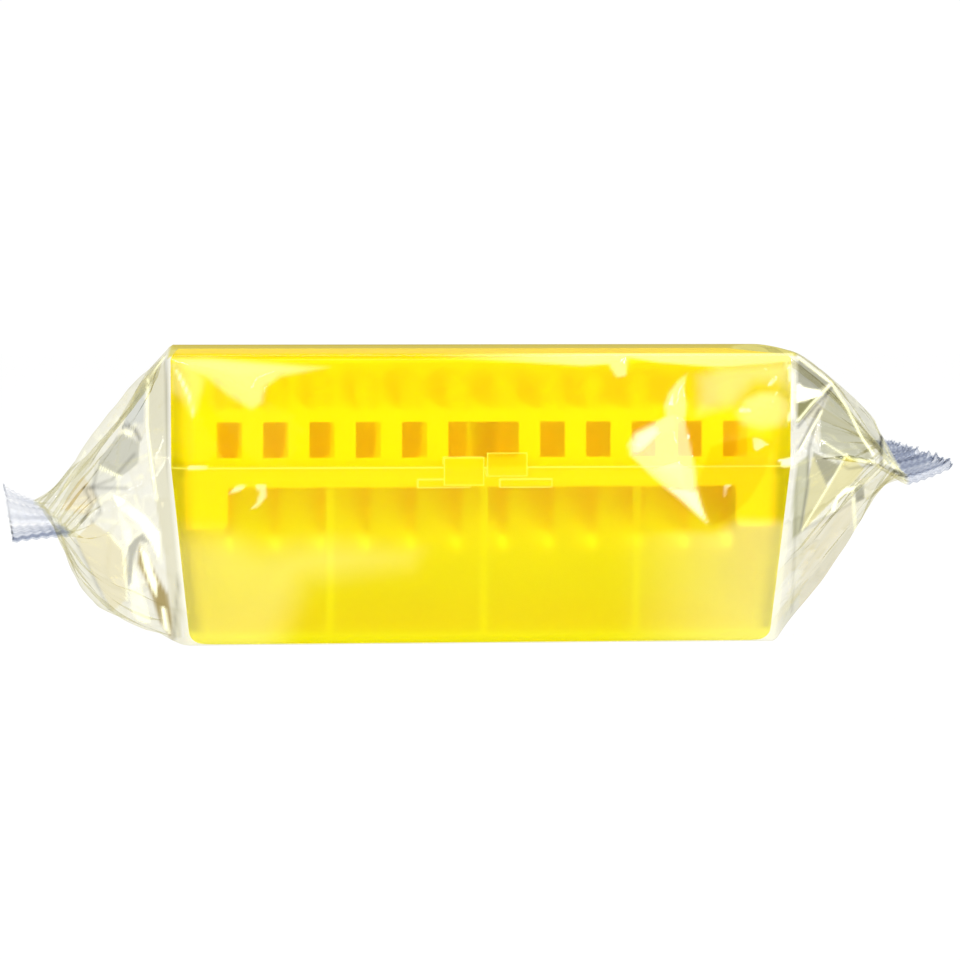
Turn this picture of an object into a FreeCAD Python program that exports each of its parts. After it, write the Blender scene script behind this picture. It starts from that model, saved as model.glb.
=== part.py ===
import FreeCAD, Part
import Sketcher
import math
import os
import random

# A box of filter tips for small pipettes, closed and sealed in a clear flow-wrap film.
# Millimetres. X runs along the box, Y from front (-) to back (+), Z up.
# The origin is the middle of the film's underside, where the pack rests.

Vector = FreeCAD.Vector
doc = FreeCAD.newDocument("tip_box")
sheet = doc.addObject("Spreadsheet::Sheet", "sizes")

DRIVING_SIZES = [
    # box outline
    ("box_length", 121.6), ("box_depth", 84.0), ("corner_radius", 5.0),
    # base tub
    ("base_height", 34.7), ("base_wall", 1.2), ("base_draft", 5.76), ("floor_height", 2.5),
    ("foot_radius", 2.5), ("foot_width", 9.0), ("foot_recess", 1.0),
    # lip of the base that the lid drops over
    ("lip_height", 1.5), ("lip_wall", 0.8), ("lip_clearance", 0.15), ("lip_root", 2.2),
    # ribs inside the base that carry the rack
    ("rib_thickness", 1.0), ("rib_depth", 2.4), ("rib_drop", 3.9),
    ("rib_spacing", 30.0), ("end_rib_spacing", 36.0),
    # lid
    ("lid_height", 21.7), ("lid_wall", 1.2), ("lid_edge", 0.7),
    # front latch: a tab of the lid beside a tab of the base, over a ledge in two bars
    ("tab_width", 7.8), ("tab_gap", 0.6), ("tab_thickness", 1.2), ("tab_stand", 0.7),
    ("tab_root", 1.3), ("lid_tab_drop", 3.4), ("base_tab_rise", 2.9),
    ("ledge_length", 10.2), ("ledge_gap", 5.8), ("ledge_height", 1.6), ("ledge_drop", 3.9),
    ("ledge_reach", 0.5),
    # back hinge: hooks of the lid round bars of the base
    ("hinge_spacing", 70.0), ("hinge_width", 12.0), ("ear_thickness", 1.6),
    ("hinge_bar_radius", 0.9), ("hinge_clearance", 0.15), ("hook_wall", 0.8), ("hinge_drop", 0.6),
    # rack insert
    ("rack_clearance", 0.2), ("rack_height", 14.9), ("rack_wall", 1.2), ("deck_thickness", 1.6),
    ("leg_width", 8.4), ("leg_drop", 8.1), ("leg_round", 1.5),
    ("window_width", 4.9), ("window_height", 7.0), ("window_drop", 2.2),
    # tips and filters
    ("pitch", 9.0), ("columns", 12), ("rows", 8), ("hole_clearance", 0.15),
    ("hub_radius", 2.85), ("hub_height", 6.5), ("shoulder_radius", 2.25), ("stem_length", 27.5),
    ("point_radius", 0.45), ("bore_radius", 2.1), ("point_bore_radius", 0.22),
    ("filter_height", 4.0), ("filter_depth", 6.0), ("filter_clearance", 0.02),
    # film
    ("film_thickness", 0.25), ("film_gap", 0.3), ("film_pillow", 1.2),
    ("left_neck_reach", 24.1), ("right_neck_reach", 26.4), ("fin_skew", 6.2),
    ("left_fin_length", 9.5), ("right_fin_length", 7.2), ("fin_taper", 2.3),
    ("fin_width", 100.0), ("left_seal_height", 23.2), ("left_cut_height", 24.2),
    ("left_cut_tilt", 2.6), ("right_seal_height", 34.0), ("right_seal_tilt", 1.7),
    ("right_cut_height", 35.5), ("pleat_height", 1.3), ("left_belly", 8.6),
    ("right_shoulder", 7.2), ("crumple", 0.9),
]
SECTION_SIDES = 5      # flats that stand for each round of the 96 tips, filters and holes
HOOK_SIDES = 6         # flats round each hook of the hinge
FILM_SIDE_STEPS = 2    # film facets up each side of the box
FILM_TOP_STEPS = 4     # film facets over the lid, and under the base
FILM_END_STEPS = 3     # bands of facets between the box and each end seal
FOLD_ROOM = 16         # film thicknesses kept solid at the sharp fold at each end of a seal

for row, (alias, value) in enumerate(DRIVING_SIZES, start=1):
    sheet.set(f"A{row}", alias)
    sheet.set(f"B{row}", str(value))
    sheet.setAlias(f"B{row}", alias)
doc.recompute()


def size(alias):
    """The number held in one cell of the sheet."""
    return float(sheet.get(alias))


def cells(text):
    """An expression in which each alias is spelt with the sheet's name."""
    names = sorted((alias for alias, _ in DRIVING_SIZES), key=len, reverse=True)
    for index, alias in enumerate(names):
        text = text.replace(alias, f"@{index}@")
    for index, alias in enumerate(names):
        text = text.replace(f"@{index}@", f"sizes.{alias}")
    return text


# ---------------------------------------------------------------- tools for bodies and sketches

def origin_feature(body, role):
    return next(item for item in body.Origin.OriginFeatures if item.Role == role)


def new_body(label, lift):
    """A body whose own zero height stands at the height that lift says."""
    body = doc.addObject("PartDesign::Body", label)
    body.Label = label
    body.setExpression("Placement.Base.z", cells(lift))
    return body


def new_sketch(body, name, role="XY_Plane", at=(None, None, None)):
    sketch = body.newObject("Sketcher::SketchObject", name)
    sketch.AttachmentSupport = (origin_feature(body, role), [""])
    sketch.MapMode = "FlatFace"
    for axis, text in zip("xyz", at):
        if text:
            sketch.setExpression(f"AttachmentOffset.Base.{axis}", cells(text))
    return sketch


def name_constraint(sketch, name, constraint, text):
    sketch.renameConstraint(sketch.addConstraint(constraint), name)
    sketch.setExpression(f"Constraints.{name}", cells(text))


def draw_rectangle(sketch, width, height):
    """A rectangle centred on the sketch's origin."""
    first = len(sketch.Geometry)
    corners = [Vector(-2, -1, 0), Vector(2, -1, 0), Vector(2, 1, 0), Vector(-2, 1, 0)]
    for step in range(4):
        sketch.addGeometry(Part.LineSegment(corners[step], corners[(step + 1) % 4]))
    for step in range(4):
        sketch.addConstraint(
            Sketcher.Constraint("Coincident", first + step, 2, first + (step + 1) % 4, 1))
        way = "Horizontal" if step % 2 == 0 else "Vertical"
        sketch.addConstraint(Sketcher.Constraint(way, first + step))
    sketch.addConstraint(Sketcher.Constraint("Symmetric", first, 1, first + 1, 2, -1, 1))
    name_constraint(sketch, f"width{first}",
                    Sketcher.Constraint("DistanceX", first, 1, first, 2, 4), width)
    name_constraint(sketch, f"height{first}",
                    Sketcher.Constraint("DistanceY", first + 1, 1, first + 1, 2, 2), height)


def draw_rounded_rectangle(sketch, width, height, radius):
    """A rectangle with round corners, centred on the sketch's origin."""
    half_w, half_h, round_r = 40.0, 30.0, 4.0
    first = len(sketch.Geometry)
    corners = [(half_w, -half_h), (half_w, half_h), (-half_w, half_h), (-half_w, -half_h)]
    for step in range(4):
        (x0, y0), (x1, y1) = corners[step - 1], corners[step]
        dx, dy = (x1 > x0) - (x1 < x0), (y1 > y0) - (y1 < y0)
        sketch.addGeometry(Part.LineSegment(
            Vector(x0 + dx * round_r, y0 + dy * round_r, 0),
            Vector(x1 - dx * round_r, y1 - dy * round_r, 0)))
    for step in range(4):
        x, y = corners[step]
        centre = Vector(x - math.copysign(round_r, x), y - math.copysign(round_r, y), 0)
        circle = Part.Circle(centre, Vector(0, 0, 1), round_r)
        start = (step - 1) * math.pi / 2
        sketch.addGeometry(Part.ArcOfCircle(circle, start, start + math.pi / 2))
    for step in range(4):
        line, arc, following = first + step, first + 4 + step, first + (step + 1) % 4
        sketch.addConstraint(Sketcher.Constraint("Tangent", line, 2, arc, 1))
        sketch.addConstraint(Sketcher.Constraint("Tangent", arc, 2, following, 1))
        way = "Horizontal" if step % 2 == 0 else "Vertical"
        sketch.addConstraint(Sketcher.Constraint(way, line))
        if step:
            sketch.addConstraint(Sketcher.Constraint("Equal", first + 4, arc))
    sketch.addConstraint(Sketcher.Constraint("Symmetric", first + 4, 3, first + 6, 3, -1, 1))
    name_constraint(sketch, f"width{first}", Sketcher.Constraint(
        "DistanceX", first + 3, 1, first + 1, 1, 2 * half_w), width)
    name_constraint(sketch, f"height{first}", Sketcher.Constraint(
        "DistanceY", first, 1, first + 2, 1, 2 * half_h), height)
    name_constraint(sketch, f"radius{first}",
                    Sketcher.Constraint("Radius", first + 4, round_r), radius)


def draw_polygon(sketch, radius):
    """The regular section of a tip, filter or hole, with its corners on a circle of radius."""
    sides = SECTION_SIDES
    angles = [math.pi * ((2 * step + 1) / sides - 0.5) for step in range(sides)]
    points = [Vector(2 * math.cos(angle), 2 * math.sin(angle), 0) for angle in angles]
    for step in range(sides):
        sketch.addGeometry(Part.LineSegment(points[step], points[(step + 1) % sides]))
    circle = sketch.addGeometry(Part.Circle(Vector(0, 0, 0), Vector(0, 0, 1), 2), True)
    for step in range(sides):
        sketch.addConstraint(Sketcher.Constraint("Coincident", step, 2, (step + 1) % sides, 1))
        sketch.addConstraint(Sketcher.Constraint("PointOnObject", step, 1, circle))
        if step:
            sketch.addConstraint(Sketcher.Constraint("Equal", 0, step))
    sketch.addConstraint(Sketcher.Constraint("Coincident", circle, 3, -1, 1))
    sketch.addConstraint(Sketcher.Constraint("Horizontal", sides - 1))
    name_constraint(sketch, "radius", Sketcher.Constraint("Radius", circle, 2), radius)


def settle(feature):
    """Recomputes the document and stops at a feature that failed."""
    doc.recompute()
    if "Invalid" in feature.State or "Error" in feature.State:
        raise RuntimeError(f"{feature.Label}: {feature.getStatusString()}")
    return feature


def pad(body, name, sketch, length, down=False):
    feature = body.newObject("PartDesign::Pad", name)
    feature.Profile = sketch
    feature.setExpression("Length", cells(length))
    feature.Reversed = down
    return settle(feature)


def pocket(body, name, sketch, length=None, up=False):
    """Cuts downwards by length, or both ways through everything when no length is given."""
    before = body.Shape.Volume
    feature = body.newObject("PartDesign::Pocket", name)
    feature.Profile = sketch
    if length:
        feature.setExpression("Length", cells(length))
        feature.Reversed = up
    else:
        feature.Type = "ThroughAll"
        feature.Midplane = True
    settle(feature)
    if not feature.Shape.Volume < before:
        raise RuntimeError(f"{name} cuts nothing")
    return feature


def datum_plane(body, name, height):
    plane = body.newObject("PartDesign::Plane", name)
    plane.AttachmentSupport = (origin_feature(body, "XY_Plane"), [""])
    plane.MapMode = "FlatFace"
    plane.setExpression("AttachmentOffset.Base.z", cells(height))
    return settle(plane)


def face_names(shape, wanted):
    return [f"Face{n}" for n, face in enumerate(shape.Faces, start=1) if wanted(face)]


def edge_names(shape, wanted):
    return [f"Edge{n}" for n, edge in enumerate(shape.Edges, start=1) if wanted(edge)]


def draft(body, name, base, faces, angle, plane, reverse):
    feature = body.newObject("PartDesign::Draft", name)
    feature.Base = (base, faces)
    feature.setExpression("Angle", cells(angle))
    feature.NeutralPlane = (plane, [""])
    feature.Reversed = reverse
    return settle(feature)


def fillet(body, name, base, edges, radius):
    feature = body.newObject("PartDesign::Fillet", name)
    feature.Base = (base, edges)
    feature.setExpression("Radius", cells(radius))
    return settle(feature)


def chamfer(body, name, base, edges, width):
    feature = body.newObject("PartDesign::Chamfer", name)
    feature.Base = (base, edges)
    feature.setExpression("Size", cells(width))
    return settle(feature)


def row_pattern(body, name, originals, axis, length, count, second=None):
    """Copies features along one axis, or along two when second gives (axis, length, count)."""
    feature = body.newObject("PartDesign::LinearPattern", name)
    feature.Originals = originals
    feature.Direction = (origin_feature(body, axis), [""])
    feature.setExpression("Length", cells(length))
    feature.setExpression("Occurrences", cells(count))
    if second:
        feature.Direction2 = (origin_feature(body, second[0]), [""])
        feature.setExpression("Length2", cells(second[1]))
        feature.setExpression("Occurrences2", cells(second[2]))
    body.Tip = feature
    return settle(feature)


def upright(face, lowest=None):
    """Whether a face stands up, and starts at the lowest height if one is given."""
    box = face.BoundBox
    tall = abs(face.normalAt(0, 0).z) < 0.3 and box.ZLength > 1
    return tall and (lowest is None or abs(box.ZMin - lowest) < 1e-4)


# ---------------------------------------------------------------- heights that pieces share

FLOOR = "film_thickness"
RIM = f"({FLOOR} + base_height)"
DECK = f"({RIM} - rib_drop + rack_height)"
HINGE_REACH = "(hinge_bar_radius + hinge_clearance + hook_wall)"
HINGE_Y = f"(box_depth / 2 + {HINGE_REACH} + hinge_clearance)"


# ---------------------------------------------------------------- base tub

def make_base():
    body = new_body("base", FLOOR)
    outline = new_sketch(body, "outline")
    draw_rectangle(outline, "box_length", "box_depth")
    block = pad(body, "block", outline, "base_height")
    rim_plane = datum_plane(body, "rim_plane", "base_height")
    tapered = draft(body, "side_draft", block, face_names(block.Shape, upright),
                    "base_draft", rim_plane, True)
    inside = new_sketch(body, "inside", at=(None, None, "base_height"))
    narrowing = "2 * (base_wall + tan(base_draft) * (base_height - floor_height))"
    draw_rectangle(inside, f"box_length - {narrowing}", f"box_depth - {narrowing}")
    cavity = pocket(body, "cavity", inside, "base_height - floor_height")
    floor_plane = datum_plane(body, "floor_plane", "floor_height")
    floor = size("floor_height")
    hollow = draft(body, "cavity_draft", cavity,
                   face_names(cavity.Shape, lambda face: upright(face, floor)),
                   "base_draft", floor_plane, False)
    half_height = size("base_height") / 2

    def corner_edges(shape, lowest):
        return edge_names(shape, lambda edge: (
            abs(edge.BoundBox.ZMin - lowest) < 1e-4 and edge.BoundBox.ZLength > half_height))

    rounded = fillet(body, "cavity_corners", hollow, corner_edges(hollow.Shape, floor),
                     "corner_radius - base_wall")
    rounded = fillet(body, "corners", rounded, corner_edges(rounded.Shape, 0), "corner_radius")
    foot = edge_names(rounded.Shape, lambda edge: edge.BoundBox.ZMax < 1e-4)
    fillet(body, "foot", rounded, foot, "foot_radius")

    recess = new_sketch(body, "recess_outline")
    drop = "2 * tan(base_draft) * base_height"
    draw_rectangle(recess, f"box_length - {drop} - 2 * foot_width",
                   f"box_depth - {drop} - 2 * foot_width")
    pocket(body, "foot_recess", recess, "foot_recess", up=True)

    lip_inner = "2 * (lid_wall + lip_clearance + lip_wall)"
    root = new_sketch(body, "lip_root_outline", at=(None, None, "base_height"))
    draw_rounded_rectangle(root, "box_length - base_wall", "box_depth - base_wall",
                           "corner_radius - base_wall / 2")
    draw_rounded_rectangle(root, f"box_length - {lip_inner}", f"box_depth - {lip_inner}",
                           f"corner_radius - {lip_inner} / 2")
    pad(body, "lip_root", root, "lip_root", down=True)
    lip_outer = "2 * (lid_wall + lip_clearance)"
    lip = new_sketch(body, "lip_outline", at=(None, None, "base_height"))
    draw_rounded_rectangle(lip, f"box_length - {lip_outer}", f"box_depth - {lip_outer}",
                           f"corner_radius - {lip_outer} / 2")
    draw_rounded_rectangle(lip, f"box_length - {lip_inner}", f"box_depth - {lip_inner}",
                           f"corner_radius - {lip_inner} / 2")
    pad(body, "lip", lip, "lip_height")

    add_ribs(body)
    add_base_latch(body)
    add_base_hinge(body)
    return body


def add_ribs(body):
    """Ribs inside the walls, parallel to them, whose tops carry the rack's skirt."""
    inset = "(base_wall / 2 + tan(base_draft) * rib_drop)"
    top = "base_height - rib_drop"
    ribs = []
    for side, sign in (("front", "-"), ("back", "")):
        sketch = new_sketch(body, f"{side}_rib_section", "YZ_Plane", at=(
            f"{sign}(box_depth / 2 - {inset})", top, "-rib_spacing - rib_thickness / 2"))
        draw_leaning_rib(sketch, 1 if side == "front" else -1)
        ribs.append(pad(body, f"{side}_rib", sketch, "rib_thickness"))
    row_pattern(body, "wall_ribs", ribs, "X_Axis", "2 * rib_spacing", "3")
    ends = []
    for side, sign in (("left", "-"), ("right", "")):
        sketch = new_sketch(body, f"{side}_rib_section", "XZ_Plane", at=(
            f"{sign}(box_length / 2 - {inset})", top, "end_rib_spacing / 2 - rib_thickness / 2"))
        draw_leaning_rib(sketch, 1 if side == "left" else -1)
        ends.append(pad(body, f"{side}_rib", sketch, "rib_thickness"))
    row_pattern(body, "end_ribs", ends, "Y_Axis", "end_rib_spacing", "2")


def draw_leaning_rib(sketch, way):
    """A section that hangs from the sketch's origin, as wide as a rib and leaning with the wall."""
    top, low = Vector(3 * way, 0, 0), Vector(5 * way, -20, 0)
    points = [Vector(0, 0, 0), top, low, Vector(2 * way, -20, 0)]
    for step in range(4):
        sketch.addGeometry(Part.LineSegment(points[step], points[(step + 1) % 4]))
    for step in range(4):
        sketch.addConstraint(Sketcher.Constraint("Coincident", step, 2, (step + 1) % 4, 1))
    sketch.addConstraint(Sketcher.Constraint("Coincident", 0, 1, -1, 1))
    sketch.addConstraint(Sketcher.Constraint("Horizontal", 0))
    sketch.addConstraint(Sketcher.Constraint("Horizontal", 2))
    sketch.addConstraint(Sketcher.Constraint("Parallel", 1, 3))
    width_ends = (0, 1, 0, 2) if way > 0 else (0, 2, 0, 1)
    lean_ends = (3, 2, 3, 1) if way > 0 else (3, 1, 3, 2)
    drop = "(base_height - rib_drop - floor_height / 2)"
    name_constraint(sketch, "width", Sketcher.Constraint("DistanceX", *width_ends, 3),
                    "rib_depth + base_wall / 2")
    name_constraint(sketch, "lean", Sketcher.Constraint("DistanceX", *lean_ends, 2),
                    f"tan(base_draft) * {drop}")
    name_constraint(sketch, "drop", Sketcher.Constraint("DistanceY", 3, 1, 3, 2, 20), drop)


def add_base_latch(body):
    """A ledge in two bars on the front, and the tab that stands up before the lid."""
    bars = []
    reach = "ledge_reach + base_wall / 2"
    for side, sign in (("left", "-"), ("right", "")):
        sketch = new_sketch(body, f"{side}_ledge_outline", at=(
            f"{sign}(ledge_gap + ledge_length) / 2",
            f"-(box_depth / 2 + ledge_reach) + ({reach}) / 2", "base_height - ledge_drop"))
        draw_rectangle(sketch, "ledge_length", reach)
        bars.append(pad(body, f"{side}_ledge", sketch, "ledge_height"))
    add_tab(body, "base_tab", 1, "base_height - tab_root - tab_stand / 2",
            "tab_root + tab_stand / 2 + base_tab_rise", "tab_root", False)


def add_tab(body, name, side, foot, length, root_length, root_on_top):
    """A flat tab that stands off the front wall on a short root at its foot or its top."""
    centre_x = f"{side} * (tab_gap + tab_width) / 2"
    plate = new_sketch(body, f"{name}_outline", at=(
        centre_x, "-(box_depth / 2 + tab_stand + tab_thickness / 2)", foot))
    draw_rectangle(plate, "tab_width", "tab_thickness")
    pad(body, name, plate, length)
    root_foot = f"{foot} + {length} - {root_length}" if root_on_top else foot
    root = new_sketch(body, f"{name}_root_outline", at=(
        centre_x, "-(box_depth / 2 + (tab_stand + tab_thickness - lid_wall) / 2)", root_foot))
    draw_rectangle(root, "tab_width", "tab_stand + tab_thickness + lid_wall")
    pad(body, f"{name}_root", root, root_length)


def add_base_hinge(body):
    """Bars held between ears on the back wall, at two places."""
    drop = "base_height - hinge_drop - hinge_bar_radius"
    for side, sign in (("left", "-"), ("right", "")):
        centre = f"{sign}hinge_spacing / 2"
        bar = new_sketch(body, f"{side}_bar_section", "YZ_Plane",
                         at=(HINGE_Y, drop, f"{centre} - hinge_width / 2"))
        bar.addGeometry(Part.Circle(Vector(0, 0, 0), Vector(0, 0, 1), 1))
        bar.addConstraint(Sketcher.Constraint("Coincident", 0, 3, -1, 1))
        name_constraint(bar, "radius", Sketcher.Constraint("Radius", 0, 1), "hinge_bar_radius")
        ears = []
        for end, way in (("outer", "-"), ("inner", "+")):
            ear = new_sketch(body, f"{side}_{end}_ear_outline", at=(
                f"{centre} {way} (hinge_width + ear_thickness) / 2",
                f"({HINGE_Y} + hinge_bar_radius + box_depth / 2 - base_wall) / 2",
                f"{drop} - 2 * hinge_bar_radius"))
            draw_rectangle(ear, "ear_thickness",
                           f"{HINGE_Y} + hinge_bar_radius - box_depth / 2 + base_wall")
            ears.append(pad(body, f"{side}_{end}_ear", ear, "3 * hinge_bar_radius"))
        pad(body, f"{side}_bar", bar, "hinge_width")


# ---------------------------------------------------------------- lid

def make_lid():
    body = new_body("lid", RIM)
    outline = new_sketch(body, "outline")
    draw_rounded_rectangle(outline, "box_length", "box_depth", "corner_radius")
    block = pad(body, "block", outline, "lid_height")
    height = size("lid_height")
    top = edge_names(block.Shape, lambda edge: edge.BoundBox.ZMin > height - 1e-4)
    chamfer(body, "top_edge", block, top, "lid_edge")
    inside = new_sketch(body, "inside")
    draw_rounded_rectangle(inside, "box_length - 2 * lid_wall", "box_depth - 2 * lid_wall",
                           "corner_radius - lid_wall")
    pocket(body, "cavity", inside, "lid_height - lid_wall", up=True)
    add_tab(body, "lid_tab", -1, "-lid_tab_drop", "lid_tab_drop + tab_root + tab_stand",
            "tab_root", True)
    add_lid_hinge(body)
    return body


def add_lid_hinge(body):
    """Hooks that reach down from the lid's back wall and round the bars of the base."""
    bar_z = "-hinge_drop - hinge_bar_radius"
    half = "(hinge_width / 2 - hinge_clearance)"
    inner_y = "box_depth / 2 - lid_wall / 2"
    outer_y = f"{HINGE_Y} + hinge_bar_radius"
    for side, sign in (("left", "-"), ("right", "")):
        centre = f"{sign}hinge_spacing / 2"
        arm = new_sketch(body, f"{side}_arm_outline",
                         at=(centre, f"({inner_y} + {outer_y}) / 2", None))
        draw_rectangle(arm, f"2 * {half}", f"{outer_y} - ({inner_y})")
        pad(body, f"{side}_arm", arm, "hook_wall + hinge_drop")
        section = new_sketch(body, f"{side}_hook_section", "YZ_Plane",
                             at=(HINGE_Y, bar_z, f"{centre} - {half}"))
        draw_hook(section)
        pad(body, f"{side}_hook", section, f"2 * {half}")


def draw_hook(sketch):
    """Three quarters of a ring of flats, open at the lower inside, centred on the origin."""
    flats = HOOK_SIDES
    angles = [math.pi * (1.5 * step / flats - 0.5) for step in range(flats + 1)]
    for first, radius in ((0, 2), (flats, 1)):
        points = [Vector(radius * math.cos(angle), radius * math.sin(angle), 0)
                  for angle in angles]
        for step in range(flats):
            sketch.addGeometry(Part.LineSegment(points[step], points[step + 1]))
    sketch.addGeometry(Part.LineSegment(Vector(0, -2, 0), Vector(0, -1, 0)))
    sketch.addGeometry(Part.LineSegment(Vector(-2, 0, 0), Vector(-1, 0, 0)))
    for first, radius, name, text in (
            (0, 2, "outer", "hinge_bar_radius + hinge_clearance + hook_wall"),
            (flats, 1, "inner", f"(hinge_bar_radius + hinge_clearance) / cos(135 / {flats})")):
        last = first + flats - 1
        circle = sketch.addGeometry(
            Part.Circle(Vector(0, 0, 0), Vector(0, 0, 1), radius), True)
        sketch.addConstraint(Sketcher.Constraint("Coincident", circle, 3, -1, 1))
        for line in range(first, last + 1):
            sketch.addConstraint(Sketcher.Constraint("PointOnObject", line, 1, circle))
            if line > first:
                sketch.addConstraint(Sketcher.Constraint("Coincident", line - 1, 2, line, 1))
                sketch.addConstraint(Sketcher.Constraint("Equal", first, line))
        sketch.addConstraint(Sketcher.Constraint("PointOnObject", last, 2, circle))
        sketch.addConstraint(Sketcher.Constraint("PointOnObject", first, 1, -2))
        sketch.addConstraint(Sketcher.Constraint("PointOnObject", last, 2, -1))
        end = 1 if first == 0 else 2
        sketch.addConstraint(Sketcher.Constraint("Coincident", first, 1, 2 * flats, end))
        sketch.addConstraint(Sketcher.Constraint("Coincident", last, 2, 2 * flats + 1, end))
        name_constraint(sketch, name, Sketcher.Constraint("Radius", circle, radius), text)


# ---------------------------------------------------------------- rack insert

LEG_TAPER = "tan(base_draft) * (rib_drop + leg_drop)"
RACK_INSET = f"2 * (base_wall + {LEG_TAPER} + rack_clearance)"


def make_rack():
    body = new_body("tip_rack", DECK)
    outline = new_sketch(body, "outline")
    draw_rounded_rectangle(outline, f"box_length - {RACK_INSET}", f"box_depth - {RACK_INSET}",
                           "corner_radius - base_wall")
    pad(body, "block", outline, "rack_height + leg_drop", down=True)
    inside = new_sketch(body, "inside", at=(None, None, "-rack_height - leg_drop"))
    draw_rounded_rectangle(inside, f"box_length - {RACK_INSET} - 2 * rack_wall",
                           f"box_depth - {RACK_INSET} - 2 * rack_wall",
                           "corner_radius - base_wall - rack_wall")
    pocket(body, "hollow", inside, "rack_height + leg_drop - deck_thickness", up=True)
    between_x = new_sketch(body, "between_legs", "XZ_Plane",
                           at=(None, "-rack_height - leg_drop", None))
    draw_rectangle(between_x, f"box_length - {RACK_INSET} - 2 * leg_width", "2 * leg_drop")
    pocket(body, "front_and_back_cut", between_x)
    between_y = new_sketch(body, "between_end_legs", "YZ_Plane",
                           at=(None, "-rack_height - leg_drop", None))
    draw_rectangle(between_y, f"box_depth - {RACK_INSET} - 2 * leg_width", "2 * leg_drop")
    cut = pocket(body, "end_cut", between_y)
    foot = -size("rack_height") - size("leg_drop")
    length = size("rack_wall")

    def leg_edge(edge):
        box = edge.BoundBox
        spans = sorted((box.XLength, box.YLength))
        return box.ZMax < foot + 1e-4 and spans[0] < 1e-4 and abs(spans[1] - length) < 1e-4

    fillet(body, "leg_corners", cut, edge_names(cut.Shape, leg_edge), "leg_round")
    add_windows(body)

    hole = new_sketch(body, "hole_section", at=(
        "-pitch * (columns - 1) / 2", "-pitch * (rows - 1) / 2", None))
    draw_polygon(hole, "shoulder_radius + hole_clearance")
    first = pocket(body, "first_hole", hole, "deck_thickness")
    row_pattern(body, "holes", [first], "X_Axis", "pitch * (columns - 1)", "columns",
                second=("Y_Axis", "pitch * (rows - 1)", "rows"))
    return body


def add_windows(body):
    """A window between each pair of posts, front and back, and the middle two joined."""
    height = "-window_drop - window_height / 2"
    window = new_sketch(body, "window_outline", "XZ_Plane",
                        at=("-pitch * (columns - 1) / 2", height, None))
    draw_rectangle(window, "window_width", "window_height")
    first = pocket(body, "first_window", window)
    row_pattern(body, "windows", [first], "X_Axis", "pitch * (columns - 1)", "columns")
    joined = new_sketch(body, "middle_window_outline", "XZ_Plane", at=(None, height, None))
    draw_rectangle(joined, "pitch + window_width", "window_height")
    pocket(body, "middle_window", joined)


# ---------------------------------------------------------------- tips and filters

SECTION_SHRINK = f"cos(180 / {SECTION_SIDES})"
TIP_LENGTH = "(hub_height + stem_length)"


def column_place(body, column):
    body.setExpression("Placement.Base.x", cells(f"pitch * ({column} - (columns - 1) / 2)"))
    body.setExpression("Placement.Base.y", cells("-pitch * (rows - 1) / 2"))


def repeat_rows(body):
    """Copies the whole body along the column, one copy for each row."""
    rows = body.newObject("PartDesign::LinearPattern", "rows")
    rows.TransformMode = "Whole shape"
    rows.Direction = (origin_feature(body, "Y_Axis"), [""])
    rows.setExpression("Length", cells("pitch * (rows - 1)"))
    rows.setExpression("Occurrences", cells("rows"))
    body.Tip = rows
    settle(rows)


def make_tips_column(column):
    """One column of tips: a hub above the deck, a tapered stem below and a tapered bore."""
    body = new_body(f"tips_column_{column + 1:02d}", DECK)
    body.AllowCompound = True
    column_place(body, column)
    hub = new_sketch(body, "hub_section")
    draw_polygon(hub, "hub_radius")
    pad(body, "hub", hub, "hub_height")
    stem_section = new_sketch(body, "stem_section")
    draw_polygon(stem_section, "shoulder_radius")
    stem = pad(body, "stem", stem_section, "stem_length", down=True)
    point = -size("stem_length")
    tapered = draft(body, "stem_taper", stem,
                    face_names(stem.Shape, lambda face: upright(face, point)),
                    f"atan((shoulder_radius - point_radius) * {SECTION_SHRINK} / stem_length)",
                    origin_feature(body, "XY_Plane"), True)
    bore_section = new_sketch(body, "bore_section", at=(None, None, "hub_height"))
    draw_polygon(bore_section, "point_bore_radius")
    bore = pocket(body, "bore", bore_section)
    point_plane = datum_plane(body, "point_plane", "-stem_length")
    full = size("hub_height") + size("stem_length")
    draft(body, "bore_taper", bore,
          face_names(bore.Shape, lambda face: upright(face, point) and (
              face.BoundBox.ZLength > full - 1e-3)),
          f"atan((bore_radius - point_bore_radius) * {SECTION_SHRINK} / {TIP_LENGTH})",
          point_plane, False)
    repeat_rows(body)
    return body


def make_filters_column(column):
    """The plugs in one column of tips, each wedged by its lower rim in the tapered bore."""
    body = new_body(f"filters_column_{column + 1:02d}", DECK)
    body.AllowCompound = True
    column_place(body, column)
    foot = "hub_height - filter_depth - filter_height"
    section = new_sketch(body, "plug_section", at=(None, None, foot))
    bore = (f"point_bore_radius + (bore_radius - point_bore_radius)"
            f" * (stem_length + {foot}) / {TIP_LENGTH}")
    draw_polygon(section, f"{bore} - filter_clearance")
    pad(body, "plug", section, "filter_height")
    repeat_rows(body)
    return body


# ---------------------------------------------------------------- film wrap

def ease(value, low, high):
    """Rises smoothly from nothing at low to one at high."""
    share = min(max((value - low) / (high - low), 0), 1)
    return share * share * (3 - 2 * share)


def base_foot():
    """How far the base's sides lean in from the rim to the floor."""
    return size("base_height") * math.tan(math.radians(size("base_draft")))


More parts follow.
